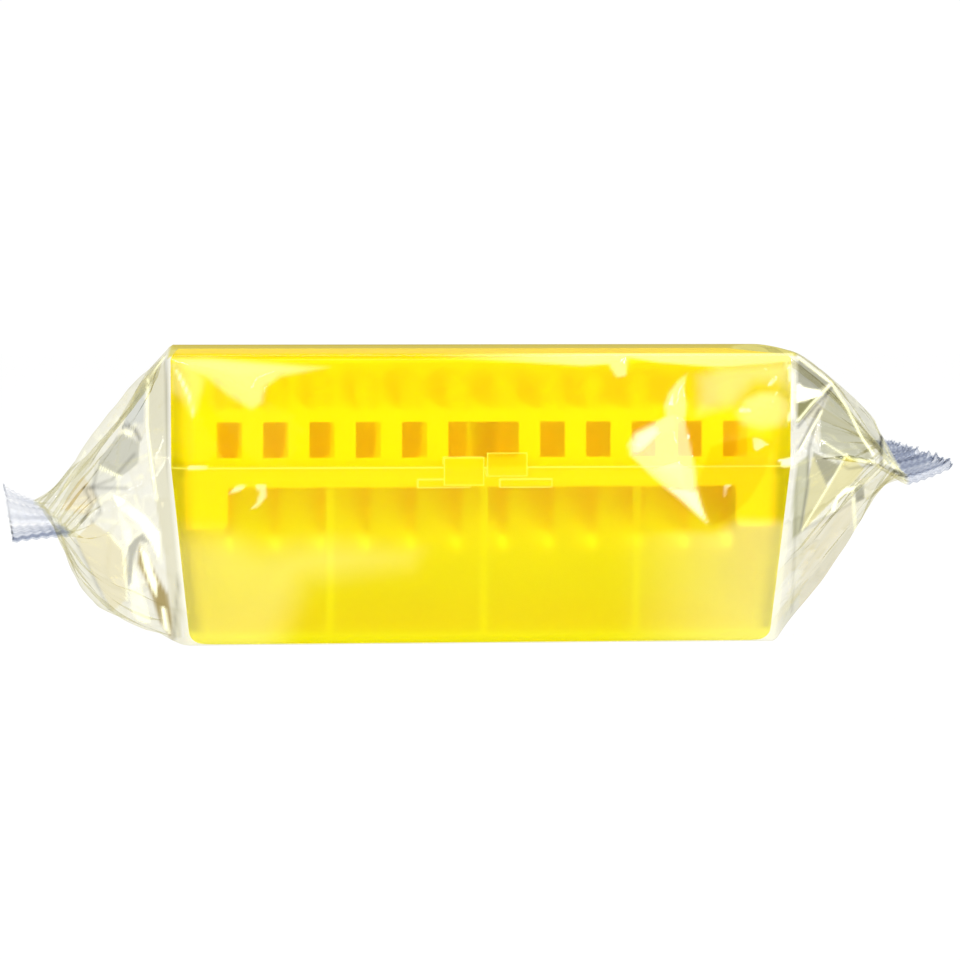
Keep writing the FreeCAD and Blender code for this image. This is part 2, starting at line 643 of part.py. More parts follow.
def film_ring(x, inset):
    """The film's ring of points (y, z) at x along the box, inset from its outer face."""
    gap = size("film_gap") + size("film_thickness") - inset
    rim = size("film_thickness") + size("base_height")
    top = rim + size("lid_height") + gap
    half_depth = size("box_depth") / 2 + gap
    end = size("box_length") / 2
    tab_edge, hinge_edge = hardware_edges()
    hook_reach = size("hinge_bar_radius") + size("hinge_clearance") + size("hook_wall")
    latch = size("tab_stand") + size("tab_thickness") + 2 * size("film_gap")
    latch *= min(max((end - abs(x)) / (end - tab_edge), 0), 1)
    hinge = 2 * hook_reach + size("hinge_clearance") + 2 * size("film_gap")
    hinge *= min(max((end - abs(x)) / (end - hinge_edge), 0), 1)
    foot = half_depth - base_foot()
    corners = [
        Vector(x, -half_depth - latch, rim), Vector(x, -half_depth, top),
        Vector(x, half_depth, top), Vector(x, half_depth + hinge, rim - size("hinge_drop")),
        Vector(x, foot, inset), Vector(x, -foot, inset),
    ]
    steps = [FILM_SIDE_STEPS, FILM_TOP_STEPS, FILM_SIDE_STEPS] * 2
    ring = []
    for number, count in enumerate(steps):
        start, end = corners[number], corners[(number + 1) % len(corners)]
        for step in range(count):
            point = start + (end - start) * (step / count)
            if number == 1:
                point.z += size("film_pillow") * math.sin(math.pi * step / count)
            ring.append(point)
    return ring


def hardware_edges():
    """Where the latch and the outer ends of the hinge stop, along the box."""
    clear = size("film_gap") + size("film_thickness")
    latch = size("tab_gap") / 2 + size("tab_width") + clear
    hinge = (size("hinge_spacing") + size("hinge_width")) / 2 + size("ear_thickness") + clear
    return latch, hinge


def zigzag(place):
    """Minus one at even places and one at odd ones, with straight runs between."""
    fold = math.floor(place)
    return (2 * (place - fold) - 1) * (1 if fold % 2 == 0 else -1)


def film_end(side, inset, with_fin):
    """Rings that gather the film from the end of the box to its seal, outwards."""
    rng = random.Random(7 if side < 0 else 9)
    hand = "left" if side < 0 else "right"
    start = size("box_length") / 2 + size("film_gap") + size("film_thickness")
    rim = size("film_thickness") + size("base_height")
    seal_tilt = size("right_seal_tilt") if side > 0 else 0.0
    cut_tilt = size("left_cut_tilt") if side < 0 else 0.0
    belly = size("left_belly") if side < 0 else 0.0
    shoulder = size("right_shoulder") if side > 0 else 0.0
    half_width = size("fin_width") / 2
    half_seal = size("film_thickness") * 1.5 - inset
    ring = film_ring(start, inset)
    count = len(ring)
    half = count // 2
    rings = [[] for _ in range(FILM_END_STEPS + 1)]
    fin = []
    for number, point in enumerate(ring):
        upper = number <= half
        place = number / half if upper else (count - number) / half
        edge = number in (0, half)
        lift = 0.0 if edge else (half_seal if upper else -half_seal)
        y = (2 * place - 1) * (half_width - inset * (FOLD_ROOM if edge else 1))
        across = y / half_width
        pleat = size("pleat_height") * zigzag((across + 1) / 2 * half) + lift
        seal = Vector(start + size(f"{hand}_neck_reach") + size("fin_skew") * across, y,
                      size(f"{hand}_seal_height") + seal_tilt * across + pleat)
        lean = base_foot() * min(max(1 - point.z / rim, 0), 1)
        begin = Vector(start - lean, point.y, point.z)
        height = ease(point.z, 0.25 * rim, 1.3 * rim)
        middle = (begin + seal) / 2 + Vector(belly * (1 - height), 0,
                                             shoulder * height - belly * (1 - height))
        for band, points in enumerate(rings):
            share = band / FILM_END_STEPS
            crumple = size("crumple") * math.sin(math.pi * share)
            mixed = (begin * (1 - share) ** 2 + middle * (2 * share * (1 - share))
                     + seal * share ** 2)
            mixed.z = max(mixed.z + rng.uniform(-1, 1) * crumple, inset)
            mixed.x = side * (mixed.x - inset * (1 - share) + rng.uniform(-1, 1) * crumple)
            points.append(mixed)
        length = size(f"{hand}_fin_length") - size("fin_taper") * across
        fin.append(Vector(side * (seal.x + length), y,
                          size(f"{hand}_cut_height") + cut_tilt * across + pleat))
    return rings + [fin] if with_fin else rings


def film_skin(inset, with_fin):
    """A closed skin of flat facets round the box, gathered at both ends."""
    tab_edge, hinge_edge = hardware_edges()
    rings = film_end(-1, inset, with_fin)[::-1]
    rings += [film_ring(x, inset) for x in (-hinge_edge, -tab_edge, tab_edge, hinge_edge)]
    rings += film_end(1, inset, with_fin)
    count = len(rings[0])
    faces = []
    for first, second in zip(rings, rings[1:]):
        for number in range(count):
            following = (number + 1) % count
            faces += facet_pair(first[number], first[following],
                                second[following], second[number])
    for end, turned in ((rings[0], True), (rings[-1], False)):
        for number in range(count // 2):
            quad = [end[number], end[number + 1],
                    end[(count - number - 1) % count], end[(count - number) % count]]
            faces += facet_pair(*(quad[::-1] if turned else quad))
    shell = Part.makeShell(faces)
    return Part.makeSolid(shell)


def facet_pair(a, b, c, d):
    """The two triangles of a four-sided patch, without one whose corners meet."""
    faces = []
    for corners in ((a, b, c), (a, c, d)):
        width = (corners[1] - corners[0]).cross(corners[2] - corners[0]).Length
        if width > 1e-6:
            faces.append(Part.Face(Part.makePolygon([*corners, corners[0]])))
    return faces


def make_film():
    """The film is the space between its outer and its inner skin."""
    outer = film_skin(0.0, True)
    inner = film_skin(size("film_thickness"), False)
    film = doc.addObject("Part::Feature", "film_wrap")
    film.Label = "film_wrap"
    film.Shape = outer.cut(inner)
    return film


# ---------------------------------------------------------------- build, check and write

column_count = int(size("columns"))
pieces = [make_base(), make_lid(), make_rack()]
pieces += [make_tips_column(column) for column in range(column_count)]
pieces += [make_filters_column(column) for column in range(column_count)]
pieces.append(make_film())
doc.recompute()

for item in doc.Objects:
    if "Invalid" in item.State or "Error" in item.State:
        raise RuntimeError(f"{item.Label}: {item.State}")
for piece in pieces:
    if piece.Shape.isNull() or not piece.Shape.isValid():
        raise RuntimeError(f"{piece.Label} has no valid shape")

os.makedirs("parts", exist_ok=True)
for piece in pieces:
    piece.Shape.exportStep(f"parts/{piece.Label}.step")
    box = piece.Shape.BoundBox
    print(f"{piece.Label}: {len(piece.Shape.Solids)} solids, "
          f"{box.XLength:.1f} x {box.YLength:.1f} x {box.ZLength:.1f} mm")
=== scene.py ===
import math
import random

import bpy
import numpy as np
from mathutils import Matrix, Vector
from mathutils.geometry import delaunay_2d_cdt


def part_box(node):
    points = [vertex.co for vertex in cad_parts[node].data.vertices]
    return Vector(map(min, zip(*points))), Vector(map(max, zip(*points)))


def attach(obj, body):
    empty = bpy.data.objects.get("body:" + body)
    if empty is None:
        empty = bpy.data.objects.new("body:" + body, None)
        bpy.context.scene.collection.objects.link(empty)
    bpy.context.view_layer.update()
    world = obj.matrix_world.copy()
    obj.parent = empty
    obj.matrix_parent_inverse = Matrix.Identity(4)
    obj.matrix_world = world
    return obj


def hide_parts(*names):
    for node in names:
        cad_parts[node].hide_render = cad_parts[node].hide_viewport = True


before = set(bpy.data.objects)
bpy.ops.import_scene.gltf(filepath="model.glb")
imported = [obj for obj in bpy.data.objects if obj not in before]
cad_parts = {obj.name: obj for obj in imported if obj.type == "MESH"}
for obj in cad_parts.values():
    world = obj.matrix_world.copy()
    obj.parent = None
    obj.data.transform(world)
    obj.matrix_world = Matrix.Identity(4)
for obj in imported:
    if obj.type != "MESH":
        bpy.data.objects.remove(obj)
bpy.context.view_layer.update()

bl_info = {
    "name": "Sealed Tip Box",
    "version": (1, 0, 0),
    "blender": (4, 5, 0),
    "location": "3D View > Sidebar > Tip Box",
    "description": "Dresses a box of pipette filter tips, sealed in clear film",
    "category": "Object",
}

MM = 0.001
BASE, LID, RACK = (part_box(node) for node in ("base", "lid", "tip_rack"))
TIP_NODES = sorted(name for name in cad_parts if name.startswith("tips_column_"))
FILTER_NODES = sorted(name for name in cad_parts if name.startswith("filters_column_"))
FIRST_TIPS, LAST_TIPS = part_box(TIP_NODES[0]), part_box(TIP_NODES[-1])
FIRST_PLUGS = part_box(FILTER_NODES[0])
COLUMNS = len(TIP_NODES)
PITCH = (LAST_TIPS[0][0] - FIRST_TIPS[0][0]) / (COLUMNS - 1)
ROWS = 8
DECK = RACK[1][2]
RIM = BASE[0][2] + 34.7 * MM
LID_TOP = LID[1][2]
HALF_LENGTH = LID[1][0]
WALL_Y = 42.0 * MM
FOOT_LEAN = 3.5 * MM
RIB_SPACING = 30 * MM
# How far the film stands off the box, and how much further over the latch and hinge: all of
# it within half their width from the middle, and from there less, to nothing at the ends.
FILM_SLACK = 0.45 * MM
LATCH_DEPTH, LATCH_HALF = 2.5 * MM, 8.7 * MM
HINGE_DEPTH, HINGE_HALF = 4.45 * MM, 43.2 * MM
TOP_BULGE = 1.0 * MM
# Where the camera stands and looks. The film's main folds are laid out as they appear from there.
EYE_X, EYE_Z = -53.2 * MM, BASE[0][2] + 69.1 * MM
CAMERA_YAW, CAMERA_PITCH = math.radians(4.56), math.radians(-3.21)


# ---- sizes and colours to change

class TipSizes(bpy.types.PropertyGroup):
    hub_radius: bpy.props.FloatProperty(
        name="Hub radius", description="Radius of a tip's hub at its collar",
        default=2.62 * MM, min=0.001, unit="LENGTH")
    shoulder_radius: bpy.props.FloatProperty(
        name="Shoulder radius", description="Radius of the stem just under the deck",
        default=2.15 * MM, min=0.001, unit="LENGTH")
    point_radius: bpy.props.FloatProperty(
        name="Point radius", description="Radius of the tip's open end",
        default=0.42 * MM, min=0.0001, unit="LENGTH")
    sides: bpy.props.IntProperty(
        name="Sides", description="Flats round each tip", default=16, min=8, max=48)
    colour: bpy.props.FloatVectorProperty(
        name="Tip colour", description="Colour of the natural plastic of the tips",
        default=(0.95, 0.80, 0.50), size=3, min=0, max=1, subtype="COLOR")
    # Painted glow: the colour of emission laid on each tip near its point.
    painted_point_glow: bpy.props.FloatVectorProperty(
        name="Point glow", description="Colour of the light that a tip gathers at its point",
        default=(1.0, 0.97, 0.75), size=3, min=0, max=1, subtype="COLOR")
    hub_colour: bpy.props.FloatVectorProperty(
        name="Hub colour", description="Colour of light that passes through a tip's wide hub",
        default=(0.99, 0.965, 0.86), size=3, min=0, max=1, subtype="COLOR")


class CaseLook(bpy.types.PropertyGroup):
    colour: bpy.props.FloatVectorProperty(
        name="Case colour", description="Colour that the base and lid scatter",
        default=(1.0, 0.97, 0.002), size=3, min=0, max=1, subtype="COLOR")
    # Painted glow: emission laid along the case's foot and ribs, and on the rack's edges and outer
    # faces.
    painted_edge_glow: bpy.props.FloatVectorProperty(
        name="Edge glow", description="Colour that the dyed plastic gathers at its edges",
        default=(1.0, 0.98, 0.0), size=3, min=0, max=1, subtype="COLOR")
    # Painted glint: emission laid on the case's sharp edges.
    painted_bevel_glint: bpy.props.FloatVectorProperty(
        name="Rim glow", description="Colour that the clear walls gather at their edges",
        default=(1.0, 0.985, 0.16), size=3, min=0, max=1, subtype="COLOR")
    lid_tint: bpy.props.FloatVectorProperty(
        name="Lid tint", description="Colour of light that passes through one face of the lid",
        default=(0.985, 0.96, 0.05), size=3, min=0, max=1, subtype="COLOR")
    lid_blur: bpy.props.FloatProperty(
        name="Lid blur", description="Roughness of the light that passes through the lid",
        default=0.30, min=0, max=1, subtype="FACTOR")
    base_tint: bpy.props.FloatVectorProperty(
        name="Base tint", description="Colour of light that passes through one face of the base",
        default=(0.98, 0.952, 0.05), size=3, min=0, max=1, subtype="COLOR")
    base_blur: bpy.props.FloatProperty(
        name="Base blur", description="Roughness of the light that passes through the base",
        default=0.52, min=0, max=1, subtype="FACTOR")
    clearness: bpy.props.FloatProperty(
        name="Clearness", description="Share of light that passes through one face",
        default=0.87, min=0, max=1, subtype="FACTOR")
    rack_colour: bpy.props.FloatVectorProperty(
        name="Rack colour", description="Colour of the opaque rack",
        default=(1.0, 0.52, 0.001), size=3, min=0, max=1, subtype="COLOR")
    # Painted glow: orange emission laid over the whole rack.
    painted_orange_glow: bpy.props.FloatVectorProperty(
        name="Deep glow", description="Colour that the dyed plastic gives off inside the rack",
        default=(1.0, 0.29, 0.0), size=3, min=0, max=1, subtype="COLOR")
    rack_glow: bpy.props.FloatVectorProperty(
        name="Rack glow", description="Colour of light that comes through the rack's walls",
        default=(1.0, 0.08, 0.0), size=3, min=0, max=1, subtype="COLOR")


class FilmSizes(bpy.types.PropertyGroup):
    seed: bpy.props.IntProperty(
        name="Seed", description="Chooses the film's creases", default=4, min=0)
    crease_height: bpy.props.FloatProperty(
        name="Crease height", description="Height of the largest creases in the gathered ends",
        default=1.5 * MM, min=0, unit="LENGTH")
    fin_half_width: bpy.props.FloatProperty(
        name="Fin half width", description="Half the width of each seal across the box",
        default=49.5 * MM, min=0.01, unit="LENGTH")
    pleat_height: bpy.props.FloatProperty(
        name="Pleat height", description="Height of the waves across each seal",
        default=1.0 * MM, min=0, unit="LENGTH")
    tint: bpy.props.FloatVectorProperty(
        name="Film tint", description="Colour of light that passes through one layer of film",
        default=(0.968, 0.963, 0.91), size=3, min=0, max=1, subtype="COLOR")
    cool_tint: bpy.props.FloatVectorProperty(
        name="Cool facet tint", description="Colour through the film's greyer flat facets",
        default=(0.66, 0.68, 0.67), size=3, min=0, max=1, subtype="COLOR")
    warm_tint: bpy.props.FloatVectorProperty(
        name="Warm facet tint", description="Colour through the film's yellower flat facets",
        default=(0.86, 0.81, 0.58), size=3, min=0, max=1, subtype="COLOR")
    slant_tint: bpy.props.FloatVectorProperty(
        name="Slant tint", description="Colour of light that passes along a layer of film",
        default=(0.91, 0.905, 0.86), size=3, min=0, max=1, subtype="COLOR")
    # Painted shade on one side of each pleat of a seal; a faint copy of it is the seal's slant
    # tint.
    pleat_shade: bpy.props.FloatVectorProperty(
        name="Seal tint", description="Colour of light that passes through a pleat of a seal",
        default=(0.66, 0.69, 0.76), size=3, min=0, max=1, subtype="COLOR")


class StageSizes(bpy.types.PropertyGroup):
    camera_distance: bpy.props.FloatProperty(
        name="Camera distance", description="Distance of the camera from the box's front",
        default=0.655, min=0.1, unit="LENGTH")
    lens: bpy.props.FloatProperty(
        name="Lens", description="Focal length of the camera in millimetres",
        default=127.0, min=10)
    light: bpy.props.FloatProperty(
        name="Light", description="Strength of the white surroundings", default=1.03, min=0)


# ---- tools for materials

class NodeBuilder:
    """A node tree, with short calls to add and join its nodes."""

    def __init__(self, tree):
        self.tree = tree
        tree.nodes.clear()

    def join(self, value, socket):
        """Links value to the socket where it is a socket too, and sets it there otherwise."""
        if isinstance(value, bpy.types.NodeSocket):
            self.tree.links.new(value, socket)
        elif socket.type == "RGBA":
            socket.default_value = (*value, 1)
        else:
            socket.default_value = value

    def add(self, kind, **settings):
        """A node; settings named like its sockets go to them, and the rest to the node."""
        node = self.tree.nodes.new(kind)
        for key, value in settings.items():
            socket = next((s for s in node.inputs if s.name.replace(" ", "_").lower() == key
                           and s.enabled), None)
            if socket is None:
                setattr(node, key, value)
            else:
                self.join(value, socket)
        return node

    def fill(self, node, *values):
        """Gives the node's inputs these values in their order."""
        for socket, value in zip(node.inputs, values):
            self.join(value, socket)
        return node

    def math(self, operation, *values):
        return self.fill(self.add("ShaderNodeMath", operation=operation), *values).outputs[0]

    def vector(self, operation, *values):
        return self.fill(self.add("ShaderNodeVectorMath", operation=operation), *values)

    def split(self, vector):
        """The X, Y and Z outputs of a vector."""
        return self.add("ShaderNodeSeparateXYZ", vector=vector).outputs

    def ramp(self, fac, stops):
        """A colour ramp from fac through stops of (place, grey level)."""
        ramp = self.add("ShaderNodeValToRGB", fac=fac)
        elements = ramp.color_ramp.elements
        for place, _ in stops[2:]:
            elements.new(place)
        for element, (place, level) in zip(elements, stops):
            element.position = place
            element.color = (level, level, level, 1)
        return ramp.outputs["Color"]

    def span(self, value, low, high, start=0.0, end=1.0):
        """A Map Range node that takes low..high to start..end and stops there."""
        return self.add("ShaderNodeMapRange", value=value, from_min=low, from_max=high,
                        to_min=start, to_max=end).outputs[0]


class Recipe(NodeBuilder):
    """A material on Object coordinates."""

    def __init__(self, name):
        self.material = bpy.data.materials.new(name)
        self.material.use_nodes = True
        super().__init__(self.material.node_tree)
        self.place = self.add("ShaderNodeTexCoord").outputs["Object"]

    def shader(self, kind, **settings):
        return self.add(f"ShaderNode{kind}", **settings).outputs[0]

    def noise(self, scale, detail=2.0, roughness=0.5, distortion=0.0):
        return self.add("ShaderNodeTexNoise", vector=self.place, scale=scale, detail=detail,
                        roughness=roughness, distortion=distortion).outputs["Fac"]

    def bump(self, height, strength, distance):
        return self.add("ShaderNodeBump", height=height, strength=strength,
                        distance=distance).outputs["Normal"]

    def edges(self, radius):
        """One on sharp edges, and nothing further away from them than the radius."""
        rounded = self.add("ShaderNodeBevel", samples=4, radius=radius).outputs[0]
        flat = self.add("ShaderNodeNewGeometry").outputs["Normal"]
        return self.span(self.vector("DOT_PRODUCT", rounded, flat).outputs["Value"], 0.99, 0.8)

    def mix(self, share, first, second):
        return self.fill(self.add("ShaderNodeMixShader"), share, first, second).outputs[0]

    def finish(self, shader):
        self.join(shader, self.add("ShaderNodeOutputMaterial").inputs["Surface"])
        return self.material


def painted_rib_glow(recipe):
    """A share of painted glow along each rib of the front and back walls, where the plastic is
    thicker.
    """
    x, y, z = recipe.split(recipe.place)
    off_rib = recipe.math("PINGPONG", recipe.math("ABSOLUTE", x), RIB_SPACING / 2)
    share = recipe.span(off_rib, 0.3 * MM, 0.8 * MM, 0.15, 0.0)
    walls = recipe.span(recipe.math("ABSOLUTE", y), 30 * MM, 31 * MM)
    below_rim = recipe.span(z, RIM - 4.2 * MM, RIM - 3.9 * MM, 1.0, 0.0)
    return recipe.math("MULTIPLY", recipe.math("MULTIPLY", share, walls), below_rim)


def frosted_case_plastic(name, tint, blur, ribbed):
    """Moulded translucent plastic: it scatters light, and shows dimly what is behind it. A painted
    glow lies along its foot, its ribs and its sharp edges.
    """
    look = bpy.context.scene.case_look
    recipe = Recipe(name)
    grain = recipe.bump(recipe.noise(2600, 3), 0.12, 0.0002)
    clouds = recipe.ramp(recipe.noise(55, 4, 0.55), [(0.3, 0.0), (0.75, 1.0)])
    mixer = recipe.add("ShaderNodeMix", data_type="RGBA", factor=clouds)
    deeper = [c * f for c, f in zip(look.colour, (0.95, 0.92, 0.7))]
    for colour, socket in zip((deeper, look.colour), mixer.inputs[6:8]):
        recipe.join(colour, socket)
    shade = mixer.outputs[2]
    body = recipe.shader("BsdfPrincipled", base_color=shade, roughness=0.5, ior=1.49,
                         specular_ior_level=0.0, normal=grain)
    glow = recipe.shader("BsdfTranslucent", color=shade, normal=grain)
    clear = recipe.shader("BsdfTransparent", color=tint)
    blurred = recipe.shader("BsdfRefraction", color=tint, roughness=blur, ior=1.3)
    seen = recipe.mix(min(1.0, 1.6 * blur), clear, blurred)
    solid = recipe.mix(0.5, body, glow)
    slant = recipe.add("ShaderNodeLayerWeight", blend=0.5).outputs["Facing"]
    edge = recipe.math("POWER", slant, 3.0)
    passed = recipe.math("MULTIPLY_ADD", edge, -look.clearness, look.clearness)
    plain = recipe.mix(passed, solid, seen)
    # Painted glow: emission in a band just above the foot and along the ribs.
    bright = recipe.shader("Emission", color=look.painted_edge_glow, strength=1.15)
    sharp = recipe.shader("Emission", color=look.painted_bevel_glint, strength=1.15)
    foot = BASE[0][2]
    height = recipe.split(recipe.place)["Z"]
    share = recipe.span(height, foot + 0.8 * MM, foot + 2.6 * MM, 0.4, 0.0)
    if ribbed:
        share = recipe.math("MAXIMUM", share, painted_rib_glow(recipe))
    lined = recipe.mix(share, plain, bright)
    # Painted glint on the case's sharp edges, by emission.
    lit = recipe.mix(recipe.math("MULTIPLY", recipe.edges(0.45 * MM), 0.95), lined, sharp)
    gloss = recipe.shader("BsdfGlossy", color=(1, 1, 1), roughness=0.3, normal=grain)
    return recipe.finish(recipe.mix(0.004, lit, gloss))


def rack_plastic():
    """Bright dyed plastic, with a painted orange glow all over it and painted highlights on its
    outer faces and edges.
    """
    look = bpy.context.scene.case_look
    recipe = Recipe("rack_plastic")
    grain = recipe.bump(recipe.noise(1800, 3), 0.15, 0.0002)
    body = recipe.shader("BsdfPrincipled", base_color=look.rack_colour, roughness=0.4,
                         specular_ior_level=0.2, normal=grain)
    glow = recipe.shader("BsdfTranslucent", color=look.rack_glow, normal=grain)
    # Painted glow: orange emission over every face of the rack.
    deep = recipe.shader("Emission", color=look.painted_orange_glow, strength=0.95)
    solid = recipe.mix(0.28, recipe.mix(0.5, body, glow), deep)
    place = recipe.split(recipe.vector("ABSOLUTE", recipe.place).outputs["Vector"])
    # Painted highlights: emission on sharp edges and near the rack's outer faces.
    share = recipe.math("MULTIPLY", recipe.edges(0.4 * MM), 0.6)
    for along, outer in zip(place, RACK[1]):
        share = recipe.math("MAXIMUM", share, recipe.span(
            along, outer - 2.5 * MM, outer - 0.5 * MM, 0.0, 0.6))
    bright = recipe.shader("Emission", color=look.painted_edge_glow, strength=1.35)
    return recipe.finish(recipe.mix(share, solid, bright))


def tip_plastic():
    """Natural plastic of the tips, slightly cloudy, with a painted glow near their points."""
    sizes = bpy.context.scene.tip_sizes
    recipe = Recipe("tip_plastic")
    ripple = recipe.bump(recipe.noise(900, 2), 0.1, 0.0002)
    body = recipe.shader("BsdfPrincipled", base_color=sizes.colour, roughness=0.25,
                         normal=ripple)
    glow = recipe.shader("BsdfTranslucent", color=sizes.colour, normal=ripple)
    solid = recipe.mix(0.5, body, glow)
    height = recipe.split(recipe.place)["Z"]
    stem = recipe.shader("BsdfTransparent", color=sizes.colour)
    hub = recipe.shader("BsdfTransparent", color=sizes.hub_colour)
    clear = recipe.mix(recipe.span(height, DECK - 1 * MM, DECK), stem, hub)
    point = FIRST_TIPS[0][2]
    rise = recipe.span(height, point + 2 * MM, point + 8 * MM, 0.0, 0.7)
    # Painted glow near each point, by emission; the tips are no lamp.
    lit = recipe.shader("Emission", color=sizes.painted_point_glow, strength=2.2)
    gathered = recipe.span(height, point + 1.5 * MM, point + 3.5 * MM, 0.5, 0.0)
    recipe.material.cycles.emission_sampling = "NONE"
    return recipe.finish(recipe.mix(gathered, recipe.mix(rise, solid, clear), lit))


def filter_felt():
    """White sintered plastic with open pores."""
    recipe = Recipe("filter_felt")
    pores = recipe.noise(3500, 4, 0.7)
    return recipe.finish(recipe.shader("BsdfPrincipled", base_color=(0.9, 0.9, 0.86),
                                       roughness=0.9, normal=recipe.bump(pores, 0.5, 0.0002)))


def film_material(name, slant_tint, roughness):
    """Clear glossy film; its tint, painted shade and reflection included, and its painted glare at
    each point are attributes of the mesh.
    """
    recipe = Recipe(name)
    crinkle = recipe.bump(recipe.noise(210, 2, 0.45, 0.6), 0.22, 0.0006)
    slant = recipe.add("ShaderNodeLayerWeight", blend=0.5, normal=crinkle).outputs["Facing"]
    steep = recipe.math("POWER", slant, 4.0)
    shine = recipe.math("MULTIPLY_ADD", steep, 0.10, 0.007)
    gloss = recipe.shader("BsdfGlossy", color=(1, 1, 1), roughness=roughness, normal=crinkle)
    tint = recipe.add("ShaderNodeAttribute", attribute_name="tint").outputs["Color"]
    single = recipe.shader("BsdfTransparent", color=tint)
    deeper = recipe.vector("MULTIPLY", tint, slant_tint).outputs[0]
    passed = recipe.mix(steep, single, recipe.shader("BsdfTransparent", color=deeper))
    # Painted glare: lit white laid where the film should shine.
    painted_glare = recipe.add("ShaderNodeAttribute", attribute_name="painted_glare").outputs["Fac"]
    glare_white = recipe.shader("BsdfDiffuse", color=(1, 0.99, 0.62))
    return recipe.finish(recipe.mix(shine, recipe.mix(painted_glare, passed, glare_white), gloss))


def stage_white():
    recipe = Recipe("stage_white")
    body = recipe.shader("BsdfDiffuse", color=(0.03, 0.03, 0.03))
    glow = recipe.shader("Emission", color=(1, 1, 1), strength=0.98)
    return recipe.finish(recipe.fill(recipe.add("ShaderNodeAddShader"), body, glow).outputs[0])


# ---- tools for meshes

def new_object(name, data):
    made = bpy.data.objects.new(name, data)
    bpy.context.scene.collection.objects.link(made)
    return made


def mesh_object(name, points, faces, material=None, smooth=True):
    mesh = bpy.data.meshes.new(name)
    mesh.from_pydata([tuple(p) for p in points], [], [tuple(f) for f in faces])
    mesh.update()
    if smooth:
        mesh.polygons.foreach_set("use_smooth", [True] * len(mesh.polygons))
    if material:
        mesh.materials.append(material)
    return new_object(name, mesh)


def turned(name, profile, sides, ring=True):
    """The profile of (radius, height) turned about Z, as a ring or between two flat ends."""
    points, faces = [], []
    count = len(profile)
    for side in range(sides):
        angle = 2 * math.pi * side / sides
        points += [(r * math.cos(angle), r * math.sin(angle), z) for r, z in profile]
        here, there = side * count, (side + 1) % sides * count
        for step in range(count if ring else count - 1):
            following = (step + 1) % count
            faces.append((here + step, there + step, there + following, here + following))
    if not ring:
        faces.append([side * count + count - 1 for side in range(sides)])
        faces.append([side * count for side in reversed(range(sides))])
    return mesh_object(name, points, faces)


def rack_grid_tree(material):
    """A geometry node tree that stands one copy of a piece at each place of the rack."""
    tree = bpy.data.node_groups.new("rack_grid", "GeometryNodeTree")
    interface = tree.interface
    interface.new_socket("Geometry", in_out="INPUT", socket_type="NodeSocketGeometry")
    sockets = {}
    for name, kind in (("Piece", "NodeSocketObject"), ("Columns", "NodeSocketInt"),
                       ("Rows", "NodeSocketInt"), ("Pitch", "NodeSocketFloat"),
                       ("Turn Seed", "NodeSocketInt"), ("Tilt", "NodeSocketFloat")):
        sockets[name] = interface.new_socket(name, in_out="INPUT", socket_type=kind).identifier
    interface.new_socket("Geometry", in_out="OUTPUT", socket_type="NodeSocketGeometry")
    build = NodeBuilder(tree)
    given = build.add("NodeGroupInput").outputs
    grid = build.add("GeometryNodeMeshGrid")
    for axis, count in (("X", "Columns"), ("Y", "Rows")):
        gaps = build.math("SUBTRACT", given[count], 1)
        build.join(build.math("MULTIPLY", gaps, given["Pitch"]), grid.inputs[f"Size {axis}"])
        build.join(given[count], grid.inputs[f"Vertices {axis}"])
    tilt = given["Tilt"]
    most = build.add("ShaderNodeCombineXYZ", x=tilt, y=tilt, z=math.pi).outputs[0]
    least = build.add("ShaderNodeVectorMath", operation="SCALE", vector=most, scale=-1).outputs[0]
    turn = build.add("FunctionNodeRandomValue", data_type="FLOAT_VECTOR", min=least, max=most,
                     seed=given["Turn Seed"])
    piece = build.add("GeometryNodeObjectInfo", object=given["Piece"]).outputs["Geometry"]
    copies = build.add("GeometryNodeInstanceOnPoints", points=grid.outputs["Mesh"],
                       instance=piece, rotation=turn.outputs["Value"])
    real = build.add("GeometryNodeRealizeInstances", geometry=copies.outputs[0])
    paint = build.add("GeometryNodeSetMaterial", geometry=real.outputs[0], material=material)
    build.join(paint.outputs[0], build.add("NodeGroupOutput").inputs[0])
    return tree, sockets


def stand_in_rack(name, shape, material, tilt, seed):
    """Copies shape to every place of the rack, as one plain mesh."""
    tree, sockets = rack_grid_tree(material)
    holder = mesh_object(f"{name}_holder", [(0, 0, 0)], [], smooth=False)
    modifier = holder.modifiers.new("grid", "NODES")
    modifier.node_group = tree
    for socket, value in (("Piece", shape), ("Columns", COLUMNS), ("Rows", ROWS),
                          ("Pitch", PITCH), ("Turn Seed", seed), ("Tilt", tilt)):
        modifier[sockets[socket]] = value
    holder.update_tag()
    graph = bpy.context.evaluated_depsgraph_get()
    mesh = bpy.data.meshes.new_from_object(holder.evaluated_get(graph), depsgraph=graph)
    if len(mesh.vertices) < COLUMNS * ROWS:
        raise RuntimeError(f"{name} came out empty")
    mesh.name = name
    piece = new_object(name, mesh)
    for used in (holder, shape):
        bpy.data.objects.remove(used, do_unlink=True)
    return piece


# ---- film surface

def tent(distance, width):
    """A ridge one high at no distance, falling straight to nothing at width."""
    return np.clip(1 - np.abs(distance) / width, 0, None)


def mixed(first, second, share):
    """Colours on the way from first to second, by each point's share."""
    first, second = np.asarray(first), np.asarray(second)
    return first + (second - first) * share[..., None]


def ease(value, low, high):
    step = np.clip((value - low) / (high - low), 0, 1)
    return step * step * (3 - 2 * step)


